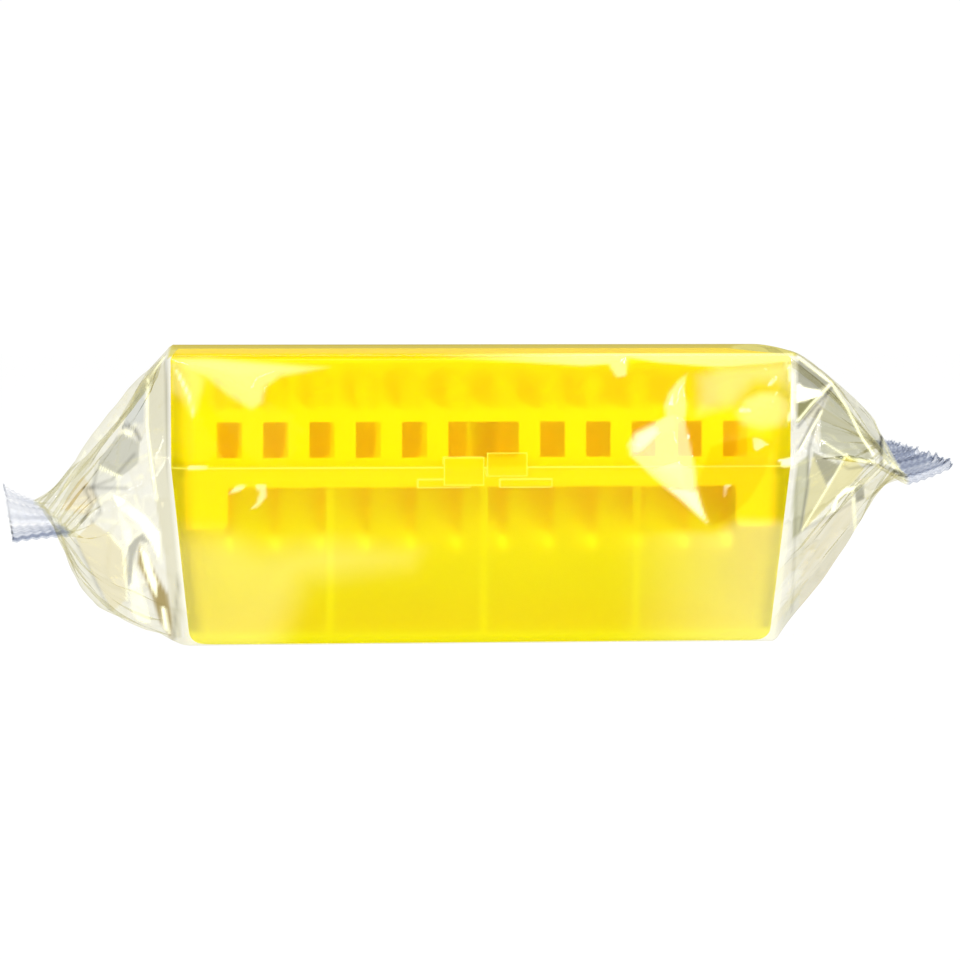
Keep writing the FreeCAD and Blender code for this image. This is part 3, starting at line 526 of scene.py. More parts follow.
def body_ring(x):
    """The film's section at x: corner points (y, z) from the front rim over the top and round."""
    latch = LATCH_DEPTH * np.interp(abs(x), [LATCH_HALF, HALF_LENGTH], [1, 0])
    hinge = HINGE_DEPTH * np.interp(abs(x), [HINGE_HALF, HALF_LENGTH], [1, 0])
    side = WALL_Y + FILM_SLACK
    top = LID_TOP + FILM_SLACK
    foot = side - FOOT_LEAN
    return [(-side - latch, RIM), (-side, top), (side, top), (side + hinge, RIM - 0.6 * MM),
            (foot, 0.05 * MM), (-foot, 0.05 * MM)]


# Steps along each side of the film's section, in the order of body_ring's corners.
RING_STEPS = (56, 46, 26, 32, 32, 74)
RING_COUNT = sum(RING_STEPS)
# Sections along the box, along each gathered end and along each seal.
BODY_STEPS, END_STEPS, FIN_STEPS = 200, 66, 12
UPPER_COUNT = sum(RING_STEPS[:3])
# Where the ring's corners meet a seal, from nothing at its near edge to one at its far edge.
CORNER_PLACES = (0, 0.31, 0.77, 1, 0.70, 0.36, 0)
# The waves across a seal, as lengths in millimetres and shares of the pleats' height.
SEAL_WAVES = ((9.3, 0.55), (5.1, 0.35), (14.7, 0.35))
LAYER_GAP = 0.16 * MM
FIN_RIPPLE, TOOTH_DEPTH = 0.18 * MM, 0.35 * MM
# Random facets, the largest first: their width and length in millimetres, their share of the
# creases' height, how much their faces are tinted, and how much painted shade and painted
# glare lies along their edges.
FACET_SIZES = ((12, 18, 1.1, 0.50, 0.30), (5.5, 10, 0.42, 0.16, 0.12), (2.4, 4, 0.10, 0.0, 0.0))
CORNER_FOLDS = 26


def ring_points(x):
    corners = body_ring(x)
    points = []
    for number, steps in enumerate(RING_STEPS):
        (y0, z0), (y1, z1) = corners[number], corners[(number + 1) % len(corners)]
        for step in range(steps):
            t = step / steps
            bulge = TOP_BULGE * math.sin(math.pi * t) if number == 1 else 0.0
            points.append((y0 + (y1 - y0) * t, z0 + (z1 - z0) * t + bulge))
    return np.array(points)


def soft_ring(x):
    """The section's points at x, with the corners rounded."""
    points = ring_points(x)
    for _ in range(2):
        points = 0.5 * points + 0.25 * (np.roll(points, 1, 0) + np.roll(points, -1, 0))
    return points


def seal_places():
    corners = np.concatenate([[0], np.cumsum(RING_STEPS)])
    return np.interp(np.arange(RING_COUNT), corners, CORNER_PLACES)


def near_side():
    """One for the ring points that face the front, and nothing for the others."""
    number = np.arange(RING_COUNT)
    return ((number <= RING_STEPS[0] + 9) | (number >= RING_COUNT - RING_STEPS[-1])).astype(float)


def seen_from_front(grid):
    """Where points appear on the plane of the box's front, in millimetres (x, z)."""
    eye = np.array([EYE_X, EYE_Z])
    depth = bpy.context.scene.stage_sizes.camera_distance
    shrink = depth / (depth + grid[..., 1] + WALL_Y)
    flat = eye + (grid[..., [0, 2]] - eye) * shrink[..., None]
    return flat[..., 0] / MM, flat[..., 1] / MM


class FilmEnd:
    """How the film gathers from one end of the box to its seal."""

    def __init__(self, side, seed):
        self.side = side
        self.rng = random.Random(seed)
        self.skew, self.taper = 6.2 * MM, 2.3 * MM
        if side > 0:
            self.reach, self.fin_length = 26.4 * MM, 6.9 * MM
            self.seal_height, self.seal_tilt = 34.0 * MM, 1.7 * MM
            self.cut_height, self.cut_tilt = 35.5 * MM, 0.0
            self.belly, self.shoulder, self.tone_and_shade = 0.0, 7.2 * MM, 0.85
            self.pleated, self.flat_parts, self.lines = (0.3, 1.7), RIGHT_FACETS, RIGHT_CREASES
        else:
            self.reach, self.fin_length = 24.1 * MM, 9.2 * MM
            self.seal_height, self.seal_tilt = 23.2 * MM, 0.0
            self.cut_height, self.cut_tilt = 24.2 * MM, 2.6 * MM
            self.belly, self.shoulder, self.tone_and_shade = 8.6 * MM, 0.0, 0.4
            self.pleated, self.flat_parts, self.lines = (-0.95, -0.5), LEFT_FACETS, LEFT_CREASES

    def seal(self, sizes):
        """Where each ring point meets the seal, its pleats, and the gap between the layers."""
        number = np.arange(RING_COUNT)
        upper = number <= UPPER_COUNT
        across = 2 * seal_places() - 1
        y = across * sizes.fin_half_width
        waves = np.zeros_like(y)
        for length, height in SEAL_WAVES:
            phase = self.rng.uniform(0, 1)
            cycle = (y / MM / length + phase) % 1.0
            waves += height * (4 * np.abs(cycle - 0.5) - 1)
        waves *= sizes.pleat_height * ease(1 - np.abs(across), 0.0, 0.08)
        gap = np.where(upper, LAYER_GAP, -LAYER_GAP) * ease(1 - np.abs(across), 0.0, 0.03)
        x = HALF_LENGTH + 0.5 * MM + self.reach + self.skew * across
        z = self.seal_height + self.seal_tilt * across
        return np.stack([x * self.side, y, z], 1), waves, gap, across

    def rows(self, sizes):
        """Rings of points from the end of the box to the cut edge of the seal."""
        start = soft_ring(HALF_LENGTH)
        lean = FOOT_LEAN * np.clip(1 - start[:, 1] / RIM, 0, 1)
        ring = np.concatenate([(self.side * (HALF_LENGTH + FILM_SLACK - lean))[:, None], start], 1)
        seal, waves, gap, across = self.seal(sizes)
        height = ease(ring[:, 2], 0.25 * RIM, 1.3 * RIM)
        out = self.belly * (1 - height)
        offset = np.stack([self.side * out, np.zeros(RING_COUNT),
                           self.shoulder * height - out], 1)
        middle = (ring + seal) / 2 + offset
        rows = []
        for step in range(1, END_STEPS + 1):
            s = step / END_STEPS
            points = (1 - s) ** 2 * ring + 2 * s * (1 - s) * middle + s ** 2 * seal
            points[:, 2] += waves * ease(s, 0.35, 1.0) + gap * ease(s, 0.8, 1.0)
            rows.append(points)
        grid = np.array(rows)
        tint, painted_glare = self.crease(grid, sizes)
        self.draw(grid, tint, painted_glare)
        cut = seal.copy()
        cut[:, 0] += self.side * (self.fin_length - self.taper * across)
        cut[:, 2] = self.cut_height + self.cut_tilt * across
        fin = []
        for step in range(1, FIN_STEPS + 1):
            s = step / FIN_STEPS
            points = grid[-1].copy()
            points[:, 0] += (cut[:, 0] - seal[:, 0]) * s
            points[:, 2] += (cut[:, 2] - seal[:, 2]) * s ** 1.4
            ripple = FIN_RIPPLE * (-1) ** step
            points[:, 2] += ripple + waves * 0.35 * s * np.cos(4.5 * across)
            if step == FIN_STEPS:
                points[::2, 0] -= self.side * TOOTH_DEPTH
            fin.append(points)
        low, high = self.pleated
        # Painted shade on one side of each pleat, fading out across part of the seal.
        shaded_sides = (0.5 + 0.5 * np.sign(np.gradient(waves))) * (1 - 0.84 * ease(across, low, high))
        pleats = mixed(SEAL_CLEAR, sizes.pleat_shade, shaded_sides)
        tint = np.concatenate([tint, np.repeat(pleats[None], FIN_STEPS, 0)], 0)
        painted_glare = np.concatenate([painted_glare, np.zeros((FIN_STEPS, RING_COUNT))], 0)
        return np.concatenate([grid, np.array(fin)], 0), tint, painted_glare

    def crease(self, grid, sizes):
        """Folds the gathered film into flat facets with sharp ridges, along its own normals."""
        lengths = np.linalg.norm(np.diff(grid[0], axis=0, append=grid[0][:1]), axis=1)
        round_box = np.cumsum(lengths) - lengths
        total = lengths.sum()
        share = np.linspace(1 / END_STEPS, 1, END_STEPS)
        along = share[:, None] * (self.reach + 6 * MM) * np.ones((1, RING_COUNT))
        around = np.ones((END_STEPS, 1)) * round_box[None, :]
        shift, painted_glare = np.zeros((2, END_STEPS, RING_COUNT))
        tint = np.ones((END_STEPS, RING_COUNT, 3)) * np.array(sizes.tint)
        start = ease(share, 0.0, 0.12)[:, None]
        for wide, long, height, layers, line in FACET_SIZES:
            heights, tones, creases = facets(around, along, total, wide * MM, long * MM, self.rng)
            shift += height * heights
            # Each facet gets a random tone; along the creases of the darker facets painted shade,
            # and along those of the clearest ones painted glare.
            tone_and_shade = mixed(sizes.cool_tint, sizes.warm_tint, tones * 9.7 % 1.0)
            amount = self.tone_and_shade * start * np.clip(
                layers * tones ** 2 + line * creases * (tones > 0.55), 0, 1)
            tint *= 1 - amount[..., None] * (1 - tone_and_shade)
            painted_glare = np.maximum(painted_glare, 0.6 * start * line * creases * (tones < 0.15))
        fade = ease(share, 0.0, 0.22) * (1 - 0.8 * ease(share, 0.7, 1.0))
        shift *= sizes.crease_height * fade[:, None]
        du = np.roll(grid, -1, 1) - np.roll(grid, 1, 1)
        dv = np.gradient(grid, axis=0)
        normal = np.cross(du, dv) * self.side
        normal /= np.linalg.norm(normal, axis=2, keepdims=True) + 1e-12
        grid += normal * shift[..., None]
        return tint, painted_glare

    def draw(self, grid, tint, painted_glare):
        """Tints the largest flat facets with painted reflection and shade, and paints the sharp
        creases that face the front with lines of painted shade and glare.
        """
        x, z = seen_from_front(grid)
        near = near_side()[None, :]
        for outline, colour, glare_white, soft in self.flat_parts:
            share = near * ease(depth_inside(x, z, outline), -0.4 * soft, 0.6 * soft)
            tint[:] = mixed(tint, colour, share)
            painted_glare[:] = np.maximum(painted_glare * (1 - share), glare_white * share)
        # Painted shade and painted glare along the creases that face the front.
        for points, width, dark, glare_white in self.lines:
            share = near * tent(distance_to(x, z, points), width)
            tint *= 1 - dark * share[..., None]
            painted_glare[:] = np.maximum(painted_glare, glare_white * share)


def facets(u, v, width, wide, long, rng):
    """Random flat triangles over (u, v), where u wraps at width: heights, tones and creases.

    Heights run between -1 and 1. Each triangle has one tone between 0 and 1. Creases are one
    on the triangles' edges and nothing a millimetre away.
    """
    spots, heights = [], []
    columns, rows = max(3, round(width / wide)), max(2, round(v.max() / long))
    for column in range(columns):
        for row in range(-1, rows + 2):
            spot = ((column + rng.uniform(0.1, 0.9)) * width / columns,
                    (row + rng.uniform(0.1, 0.9)) * long)
            height = rng.uniform(-1, 1)
            for turn in (-1, 0, 1):
                if -0.25 < (spot[0] + turn * width) / width < 1.25:
                    spots.append(Vector((spot[0] + turn * width, spot[1])))
                    heights.append(height)
    corners, _, faces, origins, *_ = delaunay_2d_cdt(spots, [], [], 0, 1e-9)
    height, tone, crease = (np.zeros(u.shape) for _ in range(3))
    for face in faces:
        (x0, y0), (x1, y1), (x2, y2) = (corners[index] for index in face)
        h0, h1, h2 = (heights[origins[index][0]] for index in face)
        area = (x1 - x0) * (y2 - y0) - (x2 - x0) * (y1 - y0)
        first = ((x1 - u) * (y2 - v) - (x2 - u) * (y1 - v)) / area
        second = ((x2 - u) * (y0 - v) - (x0 - u) * (y2 - v)) / area
        third = 1 - first - second
        inside = (first >= -1e-9) & (second >= -1e-9) & (third >= -1e-9)
        height[inside] = (first * h0 + second * h1 + third * h2)[inside]
        tone[inside] = rng.random()
        to_edge = np.minimum(np.minimum(
            first * abs(area) / math.hypot(x2 - x1, y2 - y1),
            second * abs(area) / math.hypot(x2 - x0, y2 - y0)),
            third * abs(area) / math.hypot(x1 - x0, y1 - y0))
        crease[inside] = np.clip(1 - to_edge / (0.9 * MM), 0, 1)[inside]
    return height, tone, crease


def film_body(sizes):
    """Rings of points along the box, with the creases that the corners pull into the film."""
    grid = np.zeros((BODY_STEPS, RING_COUNT, 3))
    for number, x in enumerate(np.linspace(-HALF_LENGTH, HALF_LENGTH, BODY_STEPS)):
        grid[number, :, 1:] = soft_ring(x)
        lean = FOOT_LEAN * np.clip(1 - grid[number, :, 2] / RIM, 0, 1)
        grid[number, :, 0] = x * (1 - lean / HALF_LENGTH)
    rng = random.Random(sizes.seed + 20)
    x, y, z = (grid[..., axis] for axis in range(3))
    front = (y < -WALL_Y + 5 * MM) & (np.abs(y) > 36 * MM)
    back = y > WALL_Y - 5 * MM
    push = np.zeros_like(x)
    for face in (front, back):
        for _ in range(CORNER_FOLDS):
            side = rng.choice((-1, 1))
            high = rng.random() < 0.7
            cx, cz = side * HALF_LENGTH, (LID_TOP if high else 2 * MM)
            angle = rng.uniform(0.12, 1.35)
            dx, dz = -side * math.cos(angle), -math.sin(angle) if high else math.sin(angle)
            along = (x - cx) * dx + (z - cz) * dz
            across = -(x - cx) * dz + (z - cz) * dx
            length = rng.uniform(12, 42) * MM
            reach = np.clip(along / length, 0, 1)
            wide = 1.2 * MM + 0.22 * np.clip(along, 0, None)
            lift = rng.uniform(0.15, 0.55) * MM
            push += face * lift * tent(across, wide) * np.sin(math.pi * reach)
    painted_glare = np.zeros_like(x)
    wall = (y < -36 * MM) & (z > 0.5 * MM) & ((z < LID_TOP) | (y < -41.6 * MM))
    tint = np.ones(grid.shape) * np.array(sizes.tint)
    # Painted reflection of the lid: the film over it takes a yellow tint.
    tint = mixed(tint, OVER_LID, z > LID_TOP)
    # Each pucker lifts the film, and paints glare and olive fold shade into it.
    for outline, lift, glare_white, fold_shade, soft, *fade in PUCKERS:
        depth = depth_inside(x / MM, z / MM, outline)
        push += wall * lift * MM * ease(depth, 0, 3.0)
        shade = wall * ease(depth, -0.3 * soft, 0.7 * soft)
        if fade:
            shade = shade * ease(x / MM, *fade)
        painted_glare = np.maximum(painted_glare, glare_white * shade)
        tint = mixed(tint, FOLD_SHADE_TINT, fold_shade * shade)
    grid[..., 1] += np.sign(y) * push
    return grid, tint, painted_glare


def distance_to(x, z, points):
    """The distance of each point (x, z) from the line through the points."""
    nearest = np.full(x.shape, 1e9)
    for (x0, z0), (x1, z1) in zip(points, points[1:]):
        dx, dz = x1 - x0, z1 - z0
        t = np.clip(((x - x0) * dx + (z - z0) * dz) / (dx * dx + dz * dz), 0, 1)
        nearest = np.minimum(nearest, np.hypot(x - x0 - t * dx, z - z0 - t * dz))
    return nearest


def depth_inside(x, z, outline):
    """How far each point (x, z) lies inside the outline, and below nothing outside it."""
    inside = np.zeros(x.shape, bool)
    for (x0, z0), (x1, z1) in zip(outline, outline[1:] + outline[:1]):
        if z0 != z1:
            crosses = (z0 > z) != (z1 > z)
            inside ^= crosses & (x < x0 + (z - z0) / (z1 - z0) * (x1 - x0))
    nearest = distance_to(x, z, outline + outline[:1])
    return np.where(inside, nearest, -nearest)


SEAL_CLEAR = (0.992, 0.993, 0.995)
# A yellow painted into the film where it lies over the lid: a painted reflection of the lid.
OVER_LID = (0.81, 0.73, 0.17)
# Painted olive shade, laid into the film where it folds.
FOLD_SHADE_TINT = (0.82, 0.72, 0.30)

# The largest flat facets of the gathered ends: an outline (x, z) in millimetres as it appears
# on the plane of the box's front, the colour that passes, which is painted reflection and
# shade, its painted glare and soft edge.
LEFT_FACETS = (
    (((-62.4, 56.8), (-68.0, 50.2), (-74.0, 43.6), (-80.4, 36.4), (-88.0, 27.6), (-84.6, 27.4),
      (-79.4, 33.0), (-73.6, 40.2), (-68.4, 47.4), (-63.2, 54.6)), (0.95, 0.965, 0.97), 0.34, 0.9),
    (((-66.6, 51.7), (-63.4, 55.0), (-61.7, 56.0), (-65.4, 52.3), (-66.0, 43.6), (-67.7, 43.7),
      (-69.9, 42.6), (-72.0, 45.3), (-69.3, 48.5)), (0.76, 0.78, 0.77), 0.0, 0.4),
    (((-65.2, 51.7), (-61.7, 56.0), (-60.9, 45.3), (-60.7, 36.1), (-59.2, 23.6), (-58.8, 2.4),
      (-60.4, 1.9), (-61.4, 12.8), (-63.0, 23.6), (-65.1, 37.2)), (0.82, 0.80, 0.66), 0.0, 0.4),
    (((-73.1, 40.2), (-69.9, 41.8), (-66.7, 40.1), (-67.0, 36.1), (-68.8, 34.5), (-70.5, 33.4),
      (-74.7, 35.6), (-73.9, 38.8)), (0.66, 0.66, 0.59), 0.0, 0.4),
    (((-84.4, 28.6), (-81.7, 31.8), (-78.0, 34.0), (-75.8, 31.3), (-74.8, 29.1), (-76.9, 25.9),
      (-80.7, 27.0), (-83.9, 27.0)), (0.90, 0.84, 0.68), 0.0, 0.5),
    (((-79.1, 21.6), (-75.9, 24.8), (-72.9, 22.6), (-70.0, 19.3), (-69.0, 16.6), (-69.5, 9.6),
      (-72.2, 7.4), (-74.4, 11.8), (-77.0, 16.7)), (0.90, 0.85, 0.66), 0.0, 0.4),
    (((-71.0, 26.9), (-68.4, 23.7), (-67.9, 16.6), (-65.8, 9.5), (-64.7, 5.2), (-66.9, 4.7),
      (-68.5, 7.4), (-69.0, 13.9), (-69.5, 19.3)), (0.97, 0.97, 0.95), 0.35, 0.5),
    (((-72.1, 30.2), (-70.0, 29.1), (-65.7, 25.8), (-63.0, 22.5), (-62.8, 16.6), (-64.4, 20.4),
      (-66.8, 24.2), (-70.5, 26.9)), (0.98, 0.98, 0.97), 0.75, 0.6),
    (((-69.2, 19.9), (-67.8, 21.5), (-66.2, 22.6), (-64.6, 20.4), (-66.8, 20.9), (-67.8, 18.2),
      (-68.4, 12.8), (-69.5, 11.7)), (0.58, 0.58, 0.54), 0.0, 0.6),
    (((-67.0, 20.4), (-65.7, 18.8), (-63.6, 14.4), (-61.4, 10.6), (-60.7, 6.2), (-60.7, 1.6),
      (-63.1, 5.2), (-64.4, 9.5), (-65.7, 13.3), (-67.3, 16.6)), (0.46, 0.37, 0.17), 0.0, 0.9),
    (((-66.8, 20.1), (-65.2, 18.2), (-64.4, 15.0), (-63.5, 12.8), (-63.8, 10.1), (-64.9, 12.8),
      (-66.0, 16.1)), (0.97, 0.97, 0.94), 0.9, 0.8),
    (((-62.8, 8.4), (-62.0, 7.9), (-61.2, 3.0), (-62.3, 4.1)), (0.97, 0.97, 0.94), 0.9, 0.7),
)
RIGHT_FACETS = (
    (((61.0, 56.4), (67.7, 51.2), (65.2, 49.7), (62.4, 50.5), (61.0, 51.7)),
     (0.50, 0.50, 0.42), 0.0, 0.5),
    (((60.8, 47.5), (63.0, 47.6), (67.1, 50.1), (64.7, 47.1), (60.8, 42.4)),
     (0.36, 0.36, 0.20), 0.0, 0.4),
    (((68.5, 50.9), (71.3, 46.5), (74.1, 41.6), (75.8, 38.3), (76.4, 36.1), (70.3, 36.1),
      (65.8, 37.8), (65.8, 44.9)), (0.62, 0.62, 0.50), 0.0, 0.5),
    (((64.3, 37.8), (70.3, 35.0), (67.2, 31.3), (65.3, 32.8)), (0.47, 0.46, 0.34), 0.0, 0.5),
    (((64.4, 37.2), (67.2, 31.2), (68.6, 29.5), (62.3, 22.3), (63.1, 28.4), (63.9, 33.9)),
     (0.80, 0.76, 0.48), 0.0, 0.3),
    (((71.1, 37.2), (74.7, 34.4), (72.5, 31.7), (68.7, 28.4), (62.6, 22.3), (67.3, 30.6)),
     (0.87, 0.82, 0.50), 0.0, 0.3),
    (((63.1, 21.8), (68.7, 26.2), (72.5, 28.4), (72.6, 20.7), (66.0, 8.6), (61.6, 3.1),
      (62.1, 11.9)), (0.90, 0.87, 0.76), 0.0, 0.6),
    (((60.6, 35.0), (63.6, 37.2), (63.9, 30.6), (62.0, 21.8), (60.4, 20.7)),
     (0.66, 0.66, 0.50), 0.0, 0.5),
    (((78.0, 40.2), (79.1, 39.8), (83.9, 33.2), (82.8, 33.0), (78.1, 35.5)),
     (0.99, 0.99, 0.99), 0.12, 0.9),
    (((68.0, 26.2), (69.1, 28.9), (70.9, 30.7), (73.2, 31.0), (73.1, 30.2), (70.9, 29.6),
      (69.5, 28.4), (68.7, 25.9)), (0.98, 0.98, 0.96), 0.9, 0.3),
    (((72.5, 30.6), (74.5, 31.4), (74.8, 28.4), (73.1, 27.7)), (0.50, 0.50, 0.44), 0.0, 0.4),
    (((60.2, 56.4), (61.0, 55.3), (60.8, 51.5), (62.4, 50.4), (65.8, 49.7), (66.3, 48.8),
      (63.0, 47.9), (61.1, 47.4), (59.1, 48.7)), (0.98, 0.98, 0.96), 0.9, 0.3),
)
# The sharp creases that face the front: points (x, z) as above, width, painted shade, painted
# glare.
LEFT_CREASES = (
    (((-62.0, 56.3), (-67.7, 49.6), (-73.1, 43.7), (-79.6, 36.7), (-86.6, 28.1)), 0.38, 0.0, 0.68),
    (((-63.4, 55.5), (-68.2, 48.0), (-74.7, 38.8), (-80.1, 33.4)), 0.5, 0.35, 0.0),
    (((-73.1, 40.7), (-71.5, 42.6), (-69.3, 43.4), (-67.7, 42.6), (-66.7, 40.7)), 0.6, 0.6, 0.0),
    (((-69.6, 42.2), (-68.4, 41.6)), 0.5, 0.0, 0.68),
    (((-61.7, 56.0), (-61.5, 45.3), (-61.3, 35.5), (-60.3, 26.9), (-59.3, 15.5), (-60.4, 1.9)),
     0.5, 0.3, 0.0),
    (((-65.0, 52.8), (-65.3, 43.6), (-64.5, 36.1), (-63.5, 29.0)), 0.38, 0.0, 0.52),
    (((-69.4, 31.2), (-74.2, 31.3), (-77.4, 31.3), (-75.9, 28.0), (-78.0, 24.8)), 0.6, 0.35, 0.0),
    (((-74.7, 35.6), (-75.8, 31.3), (-74.3, 26.9), (-75.9, 24.8)), 0.6, 0.35, 0.0),
    (((-67.8, 37.7), (-72.1, 32.9), (-76.4, 31.3)), 0.6, 0.3, 0.0),
    (((-70.5, 33.4), (-74.7, 35.4)), 0.38, 0.0, 0.52),
    (((-79.3, 21.4), (-74.6, 11.6), (-72.4, 7.2), (-66.0, 4.2)), 0.5, 0.25, 0.0),
    (((-72.9, 22.6), (-70.0, 19.3), (-69.3, 9.6)), 0.38, 0.0, 0.45),
)
RIGHT_CREASES = (
    (((61.0, 56.5), (68.0, 51.2), (71.3, 46.0), (74.1, 40.5), (76.4, 37.2)), 0.38, 0.0, 0.6),
    (((67.7, 50.8), (64.1, 47.1), (60.5, 42.7)), 0.38, 0.0, 0.68),
    (((68.4, 50.6), (64.8, 46.6), (61.0, 42.1)), 0.5, 0.5, 0.0),
    (((67.9, 50.4), (65.5, 45.4), (63.6, 38.3), (63.4, 31.7), (62.1, 22.4)), 0.5, 0.4, 0.0),
    (((65.5, 46.0), (60.8, 36.7)), 0.5, 0.5, 0.0),
    (((66.1, 45.6), (61.6, 37.6)), 0.38, 0.0, 0.52),
    (((71.1, 37.2), (67.3, 30.6), (62.3, 22.3)), 0.38, 0.0, 0.38),
    (((62.3, 22.3), (68.7, 25.6), (74.2, 28.9)), 0.5, 0.2, 0.0),
    (((78.0, 40.6), (78.0, 35.2), (83.4, 32.6)), 0.5, 0.6, 0.0),
    (((78.6, 40.6), (84.1, 33.0)), 0.5, 0.6, 0.0),
    (((72.5, 28.4), (72.9, 22.9), (73.2, 19.6)), 0.5, 0.0, 0.6),
    (((61.1, 42.2), (61.2, 28.4), (60.4, 6.4)), 0.5, 0.2, 0.0),
    (((66.0, 40.0), (72.0, 36.2), (76.5, 35.8)), 0.38, 0.0, 0.3),
    (((66.5, 37.6), (71.5, 34.4), (76.0, 35.0)), 0.5, 0.3, 0.0),
)

# Where the film stands off the front, with painted glare and painted fold shade: an outline
# (x, z) in millimetres, its lift, its painted glare, its painted fold shade and the width of
# its soft edge. Two more numbers are the x between which it fades in.
PUCKERS = (
    (((-61.6, 56.4), (-52.2, 56.3), (-40.7, 55.4), (-30.1, 54.5), (-35.0, 53.4), (-39.5, 52.6),
      (-42.4, 50.6), (-43.0, 47.6), (-45.2, 46.2), (-49.8, 49.0), (-53.8, 52.4), (-57.6, 53.6)),
     0.7, 0.17, 0.0, 1.6),
    (((-61.0, 56.4), (-56.0, 56.0), (-54.0, 52.0), (-55.6, 46.0), (-56.4, 44.8), (-58.6, 48.0),
      (-61.0, 50.0)), 0.4, 0.10, 0.0, 2.0),
    (((-60.6, 55.6), (-58.8, 53.4), (-57.0, 49.8), (-56.2, 45.6), (-56.4, 44.8), (-57.5, 48.6),
      (-59.4, 52.4)), 0.4, 0.6, 0.0, 1.3),
    (((39.4, 53.2), (37.6, 51.8), (35.8, 49.6), (34.8, 47.0), (35.2, 44.8), (37.2, 44.0),
      (39.2, 44.6), (39.4, 47.4), (38.8, 50.0)), 0.9, 0.20, 0.0, 1.0),
    (((35.6, 45.2), (32.0, 43.0), (28.9, 41.6), (27.6, 39.4), (28.2, 37.2), (32.2, 33.4),
      (37.4, 29.0), (44.1, 23.3), (42.6, 27.0), (41.2, 31.7), (40.6, 36.6), (39.8, 40.6),
      (38.8, 44.6), (37.0, 45.4)), 1.0, 0.24, 0.0, 0.8),
    (((28.0, 39.6), (29.2, 41.8), (33.4, 43.8), (34.6, 41.6), (32.4, 39.2), (30.0, 37.0),
      (28.2, 37.4)), 0.2, 0.46, 0.0, 2.0),
    (((31.0, 34.8), (37.4, 29.2), (43.8, 23.6), (42.5, 27.2), (41.4, 31.0), (41.0, 35.0),
      (37.0, 36.6)), 0.2, 0.34, 0.0, 1.6),
    (((34.8, 31.2), (37.4, 29.2), (43.8, 23.6), (42.5, 27.2), (41.5, 30.4)),
     0.3, 0.55, 0.0, 0.9),
    (((48.8, 45.4), (50.4, 48.4), (53.8, 49.8), (57.6, 49.9), (60.2, 47.6), (60.0, 44.4),
      (57.8, 42.6), (54.0, 42.0), (50.2, 43.0)), 0.8, 0.15, 0.0, 2.6),
    (((58.9, 56.6), (60.5, 53.0), (60.9, 48.5), (60.3, 44.5), (58.9, 42.8), (59.6, 46.0),
      (59.8, 50.0), (58.9, 54.0)), 0.3, 0.42, 0.0, 0.4),
    (((-12.0, 56.4), (19.0, 54.6), (24.0, 54.9), (25.6, 52.3), (27.6, 52.6), (27.9, 56.2),
      (34.0, 55.2), (46.0, 54.2), (60.5, 55.2), (60.5, 57.4), (-12.0, 57.4)),
     0.4, 0.20, 0.0, 0.7, -16, 24),
    (((41.0, 52.8), (46.0, 55.0), (61.0, 56.4), (61.0, 47.0), (57.0, 50.5), (53.0, 50.8),
      (49.0, 46.5), (41.5, 45.0)), 0.2, 0.13, 0.28, 4.0),
    (((-57.5, 35.7), (-53.8, 35.4), (-54.0, 34.9), (-57.3, 34.8)), 0.2, 0.25, 0.0, 0.3),
    (((57.4, 36.3), (60.5, 36.8), (60.6, 34.9), (58.4, 34.8)), 0.3, 0.5, 0.0, 0.4),
    (((-49.6, 30.2), (-48.2, 31.7), (-46.4, 31.8), (-47.0, 30.9), (-48.4, 30.2)),
     0.3, 0.30, 0.0, 0.4),
    (((-45.6, 27.0), (-44.0, 27.4), (-42.4, 29.4), (-42.6, 31.8), (-44.8, 32.0), (-43.8, 30.2),
      (-44.4, 28.4)), 0.4, 0.24, 0.0, 0.5),
    (((47.0, 31.6), (47.8, 31.3), (46.9, 29.0)), 0.3, 0.40, 0.0, 0.3),
    (((44.1, 23.0), (47.5, 24.4), (52.0, 28.4), (55.0, 33.5), (56.5, 40.0), (52.0, 41.0),
      (44.0, 39.0), (41.4, 32.0), (42.8, 27.0)), 0.5, 0.0, 0.5, 0.8),
    (((-68.0, 24.5), (-50.4, 23.0), (-43.3, 20.4), (-30.0, 21.5), (-12.0, 19.0), (-14.0, 15.0),
      (-34.0, 12.0), (-41.0, -6.0), (-68.0, -6.0)), 0.0, 0.075, 0.0, 9.0),
    (((4.0, 20.5), (16.0, 21.5), (30.0, 22.0), (38.0, 22.6), (45.0, 22.4), (50.0, 24.8),
      (66.0, 24.0), (66.0, -6.0), (4.0, -6.0)), 0.0, 0.12, 0.0, 3.0, 24, 58),
)


def film_faces(rows):
    faces = []
    for first in range(0, (rows - 1) * RING_COUNT, RING_COUNT):
        for column in range(RING_COUNT):
            a, b = first + column, first + (column + 1) % RING_COUNT
            faces.append((a, a + RING_COUNT, b + RING_COUNT, b))
    return faces


def film_cap(first, turned_round):
    """Closes the cut edge of a seal, where the film's two layers meet."""
    places = seal_places()
    upper = list(range(UPPER_COUNT + 1))
    lower = [0] + list(range(RING_COUNT - 1, UPPER_COUNT - 1, -1))
    faces, i, j = [], 0, 0
    while i < len(upper) - 1 or j < len(lower) - 1:
        if j == len(lower) - 1 or (i < len(upper) - 1
                                   and places[upper[i + 1]] <= places[lower[j + 1]]):
            face = (upper[i], upper[i + 1], lower[j])
            i += 1
        else:
            face = (upper[i], lower[j + 1], lower[j])
            j += 1
        if len(set(face)) == 3:
            face = tuple(first + corner for corner in face)
            faces.append(face[::-1] if turned_round else face)
    return faces


# ---- operators

def paint_node(node, material):
    """Gives a CAD node one material in all its slots."""
    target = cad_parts[node]
    target = bpy.data.objects[target] if isinstance(target, str) else target
    if not target.material_slots:
        target.data.materials.append(material)
    for slot in target.material_slots:
        slot.material = material


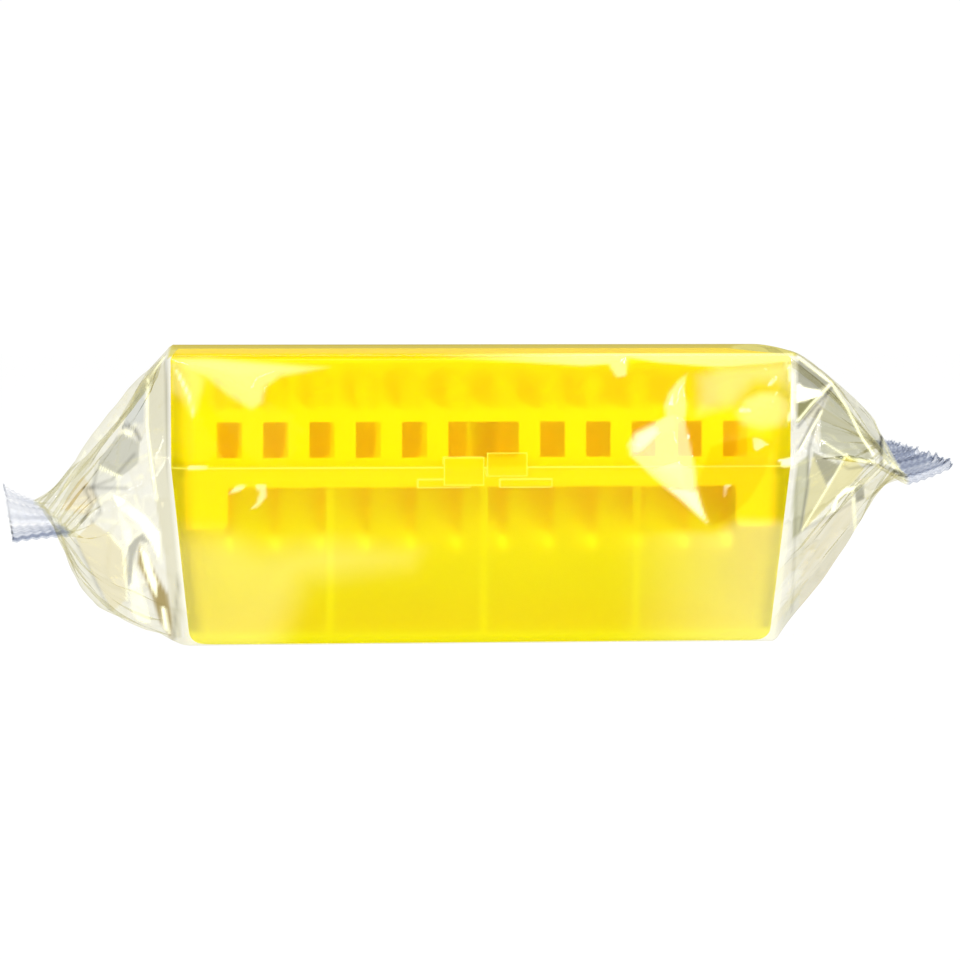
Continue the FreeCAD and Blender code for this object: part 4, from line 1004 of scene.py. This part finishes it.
class TIPBOX_OT_case(bpy.types.Operator):
    """Gives the base and lid their frosted plastic"""
    bl_idname = "tipbox.case"
    bl_label = "Base and lid"

    def execute(self, context):
        look = context.scene.case_look
        paint_node("base", frosted_case_plastic(
            "base_plastic", look.base_tint, look.base_blur, ribbed=True))
        paint_node("lid", frosted_case_plastic(
            "lid_plastic", look.lid_tint, look.lid_blur, ribbed=False))
        return {"FINISHED"}


class TIPBOX_OT_rack(bpy.types.Operator):
    """Gives the rack its bright opaque plastic"""
    bl_idname = "tipbox.rack"
    bl_label = "Rack"

    def execute(self, context):
        paint_node("tip_rack", rack_plastic())
        return {"FINISHED"}


class TIPBOX_OT_tips(bpy.types.Operator):
    """Stands a round tip in every hole of the rack"""
    bl_idname = "tipbox.tips"
    bl_label = "Tips"

    def execute(self, context):
        sizes = context.scene.tip_sizes
        top, point = FIRST_TIPS[1][2], FIRST_TIPS[0][2]
        hub, shoulder, tip = sizes.hub_radius, sizes.shoulder_radius, sizes.point_radius
        length = DECK - point
        profile = [
            (hub * 0.80, top), (hub * 0.94, top), (hub, top - 0.5 * MM),
            (hub * 0.97, DECK + 1.2 * MM), (hub * 1.04, DECK + 0.9 * MM), (hub * 1.04, DECK),
            (shoulder, DECK), (shoulder * 0.86, DECK - 0.3 * length),
            (shoulder * 0.62, DECK - 0.36 * length), (tip * 1.75, point + 0.28 * length),
            (tip, point), (tip * 0.55, point), (tip * 0.9, point + 0.3 * length),
            (shoulder * 0.55, DECK - 0.34 * length), (shoulder * 0.8, DECK),
        ]
        shape = turned("tip_shape", profile[::-1], sizes.sides)
        tips = stand_in_rack("tips", shape, tip_plastic(), math.radians(0.4), 3)
        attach(tips, "root")
        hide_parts(*TIP_NODES)
        return {"FINISHED"}


class TIPBOX_OT_filters(bpy.types.Operator):
    """Wedges a round filter plug in the hub of every tip"""
    bl_idname = "tipbox.filters"
    bl_label = "Filters"

    def execute(self, context):
        low, high = FIRST_PLUGS[0][2], FIRST_PLUGS[1][2]
        radius = 1.45 * MM
        edge = 0.2 * MM
        profile = [(radius * 0.8, low), (radius * 0.9, low + edge), (radius, high - edge),
                   (radius - edge, high)]
        shape = turned("filter_shape", profile, 12, ring=False)
        filters = stand_in_rack("filters", shape, filter_felt(), 0.0, 5)
        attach(filters, "root")
        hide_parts(*FILTER_NODES)
        return {"FINISHED"}


class TIPBOX_OT_film(bpy.types.Operator):
    """Wraps the box in creased clear film, gathered into a seal at each end"""
    bl_idname = "tipbox.film"
    bl_label = "Film"

    def execute(self, context):
        sizes = context.scene.film_sizes
        left = FilmEnd(-1, sizes.seed).rows(sizes)
        right = FilmEnd(1, sizes.seed + 1).rows(sizes)
        grid, tint, painted_glare = (np.concatenate([one[::-1], middle, other], 0)
                            for one, middle, other in zip(left, film_body(sizes), right))
        grid[..., 2] = np.maximum(grid[..., 2], 0.02 * MM)
        rows = grid.shape[0]
        points = grid.reshape(-1, 3)
        faces = film_faces(rows) + film_cap(0, False) + film_cap((rows - 1) * RING_COUNT, True)
        film = mesh_object("film", points, faces, film_material(
            "clear_film", sizes.slant_tint, 0.035))
        film.data.materials.append(film_material(
            "film_seal", [c ** 0.03 for c in sizes.pleat_shade], 0.12))
        colour = film.data.attributes.new("tint", "FLOAT_COLOR", "POINT")
        colour.data.foreach_set("color", np.concatenate(
            [tint.clip(0, 1), np.ones(painted_glare.shape)[..., None]], 2).reshape(-1))
        # Painted glare, a share of lit white at each point of the film.
        glare_layer = film.data.attributes.new("painted_glare", "FLOAT", "POINT")
        glare_layer.data.foreach_set("value", painted_glare.reshape(-1))
        sealed = [row < FIN_STEPS or row >= rows - 1 - FIN_STEPS
                  for row in range(rows - 1) for _ in range(RING_COUNT)]
        sealed += [True] * (len(faces) - len(sealed))
        film.data.polygons.foreach_set("material_index", [int(seal) for seal in sealed])
        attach(film, "root")
        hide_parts("film_wrap")
        return {"FINISHED"}


class TIPBOX_OT_stage(bpy.types.Operator):
    """Sets up the pale floor, the soft light and the camera"""
    bl_idname = "tipbox.stage"
    bl_label = "Floor, light and camera"

    def execute(self, context):
        scene = context.scene
        sizes = scene.stage_sizes
        floor = mesh_object("floor", [(-3, -3, 0), (3, -3, 0), (3, 3, 0), (-3, 3, 0)],
                            [(0, 1, 2, 3)], stage_white(), smooth=False)
        light_surroundings(scene, sizes.light)
        for name, place, width, height, power in (
                ("top_light", (0.05, 0.05, 0.9), 0.8, 0.5, 10.0),
                ("left_light", (-0.50, -0.95, 0.36), 0.25, 0.35, 12.0),
                ("right_light", (0.42, -0.95, 0.30), 0.22, 0.30, 9.0)):
            soft_light(name, Vector(place), width, height, power)
        set_camera(scene, sizes)
        scene.view_settings.view_transform = "Standard"
        for kind, bounces in (("max", 24), ("diffuse", 8), ("glossy", 12),
                              ("transmission", 12), ("transparent_max", 32)):
            setattr(scene.cycles, f"{kind}_bounces", bounces)
        return {"FINISHED"}


def light_surroundings(scene, strength):
    """A white backdrop; a white wall and ceiling light the box, and the room's sides are dim."""
    scene.world = bpy.data.worlds.new("white_surroundings")
    scene.world.use_nodes = True
    build = NodeBuilder(scene.world.node_tree)
    place = build.split(build.add("ShaderNodeTexCoord").outputs["Generated"])
    levels = []
    for axis, stops in (("Y", ((0.05, 0.10), (0.5, 0.26), (0.86, 0.30), (0.95, 1.0))),
                        ("Z", ((0.72, 0.0), (0.92, 1.0)))):
        level = build.ramp(build.span(place[axis], -1, 1), stops)
        level.node.color_ramp.interpolation = "EASE"
        levels.append(level)
    backdrop = build.add("ShaderNodeLightPath").outputs["Is Camera Ray"]
    white = build.math("MAXIMUM", build.math("MAXIMUM", *levels), backdrop)
    background = build.add("ShaderNodeBackground", strength=strength, color=white)
    build.join(background.outputs[0], build.add("ShaderNodeOutputWorld").inputs["Surface"])


def looking(place, aim):
    """The matrix of a lamp or camera that stands at place and looks along aim."""
    return Matrix.Translation(place) @ aim.to_track_quat("-Z", "Y").to_matrix().to_4x4()


def soft_light(name, place, width, height, power):
    light = bpy.data.lights.new(name, "AREA")
    light.shape = "RECTANGLE"
    light.size, light.size_y = width, height
    light.energy = power
    lamp = new_object(name, light)
    lamp.visible_camera = False
    lamp.matrix_world = looking(place, Vector((0, 0, 0.03)) - place)


def set_camera(scene, sizes):
    camera = bpy.data.cameras.new("camera")
    camera.lens = sizes.lens
    camera.sensor_width = 36
    camera.clip_start = 0.01
    scene.camera = new_object("camera", camera)
    level = math.cos(CAMERA_PITCH)
    aim = Vector((math.sin(CAMERA_YAW) * level, math.cos(CAMERA_YAW) * level,
                  math.sin(CAMERA_PITCH)))
    place = Vector((EYE_X, -WALL_Y - sizes.camera_distance, EYE_Z))
    scene.camera.matrix_world = looking(place, aim)


# ---- panel and registration

class TIPBOX_PT_panel(bpy.types.Panel):
    bl_idname = "TIPBOX_PT_panel"
    bl_label = "Sealed tip box"
    bl_space_type = "VIEW_3D"
    bl_region_type = "UI"
    bl_category = "Tip Box"

    def draw(self, context):
        for name, group in GROUPS.items():
            settings = getattr(context.scene, name)
            box = self.layout.box()
            for key in group.__annotations__:
                box.prop(settings, key)
        for operator in OPERATORS:
            self.layout.operator(operator.bl_idname)


GROUPS = {"tip_sizes": TipSizes, "case_look": CaseLook, "film_sizes": FilmSizes,
          "stage_sizes": StageSizes}
OPERATORS = (TIPBOX_OT_case, TIPBOX_OT_rack, TIPBOX_OT_tips, TIPBOX_OT_filters, TIPBOX_OT_film,
             TIPBOX_OT_stage)


def register():
    for cls in (*GROUPS.values(), *OPERATORS, TIPBOX_PT_panel):
        bpy.utils.register_class(cls)
    for name, group in GROUPS.items():
        setattr(bpy.types.Scene, name, bpy.props.PointerProperty(type=group))


def unregister():
    for name in GROUPS:
        delattr(bpy.types.Scene, name)
    for cls in (TIPBOX_PT_panel, *reversed(OPERATORS), *GROUPS.values()):
        bpy.utils.unregister_class(cls)


def main():
    register()
    for operator in OPERATORS:
        group, name = operator.bl_idname.split(".")
        getattr(getattr(bpy.ops, group), name)()


if __name__ == "__main__":
    main()
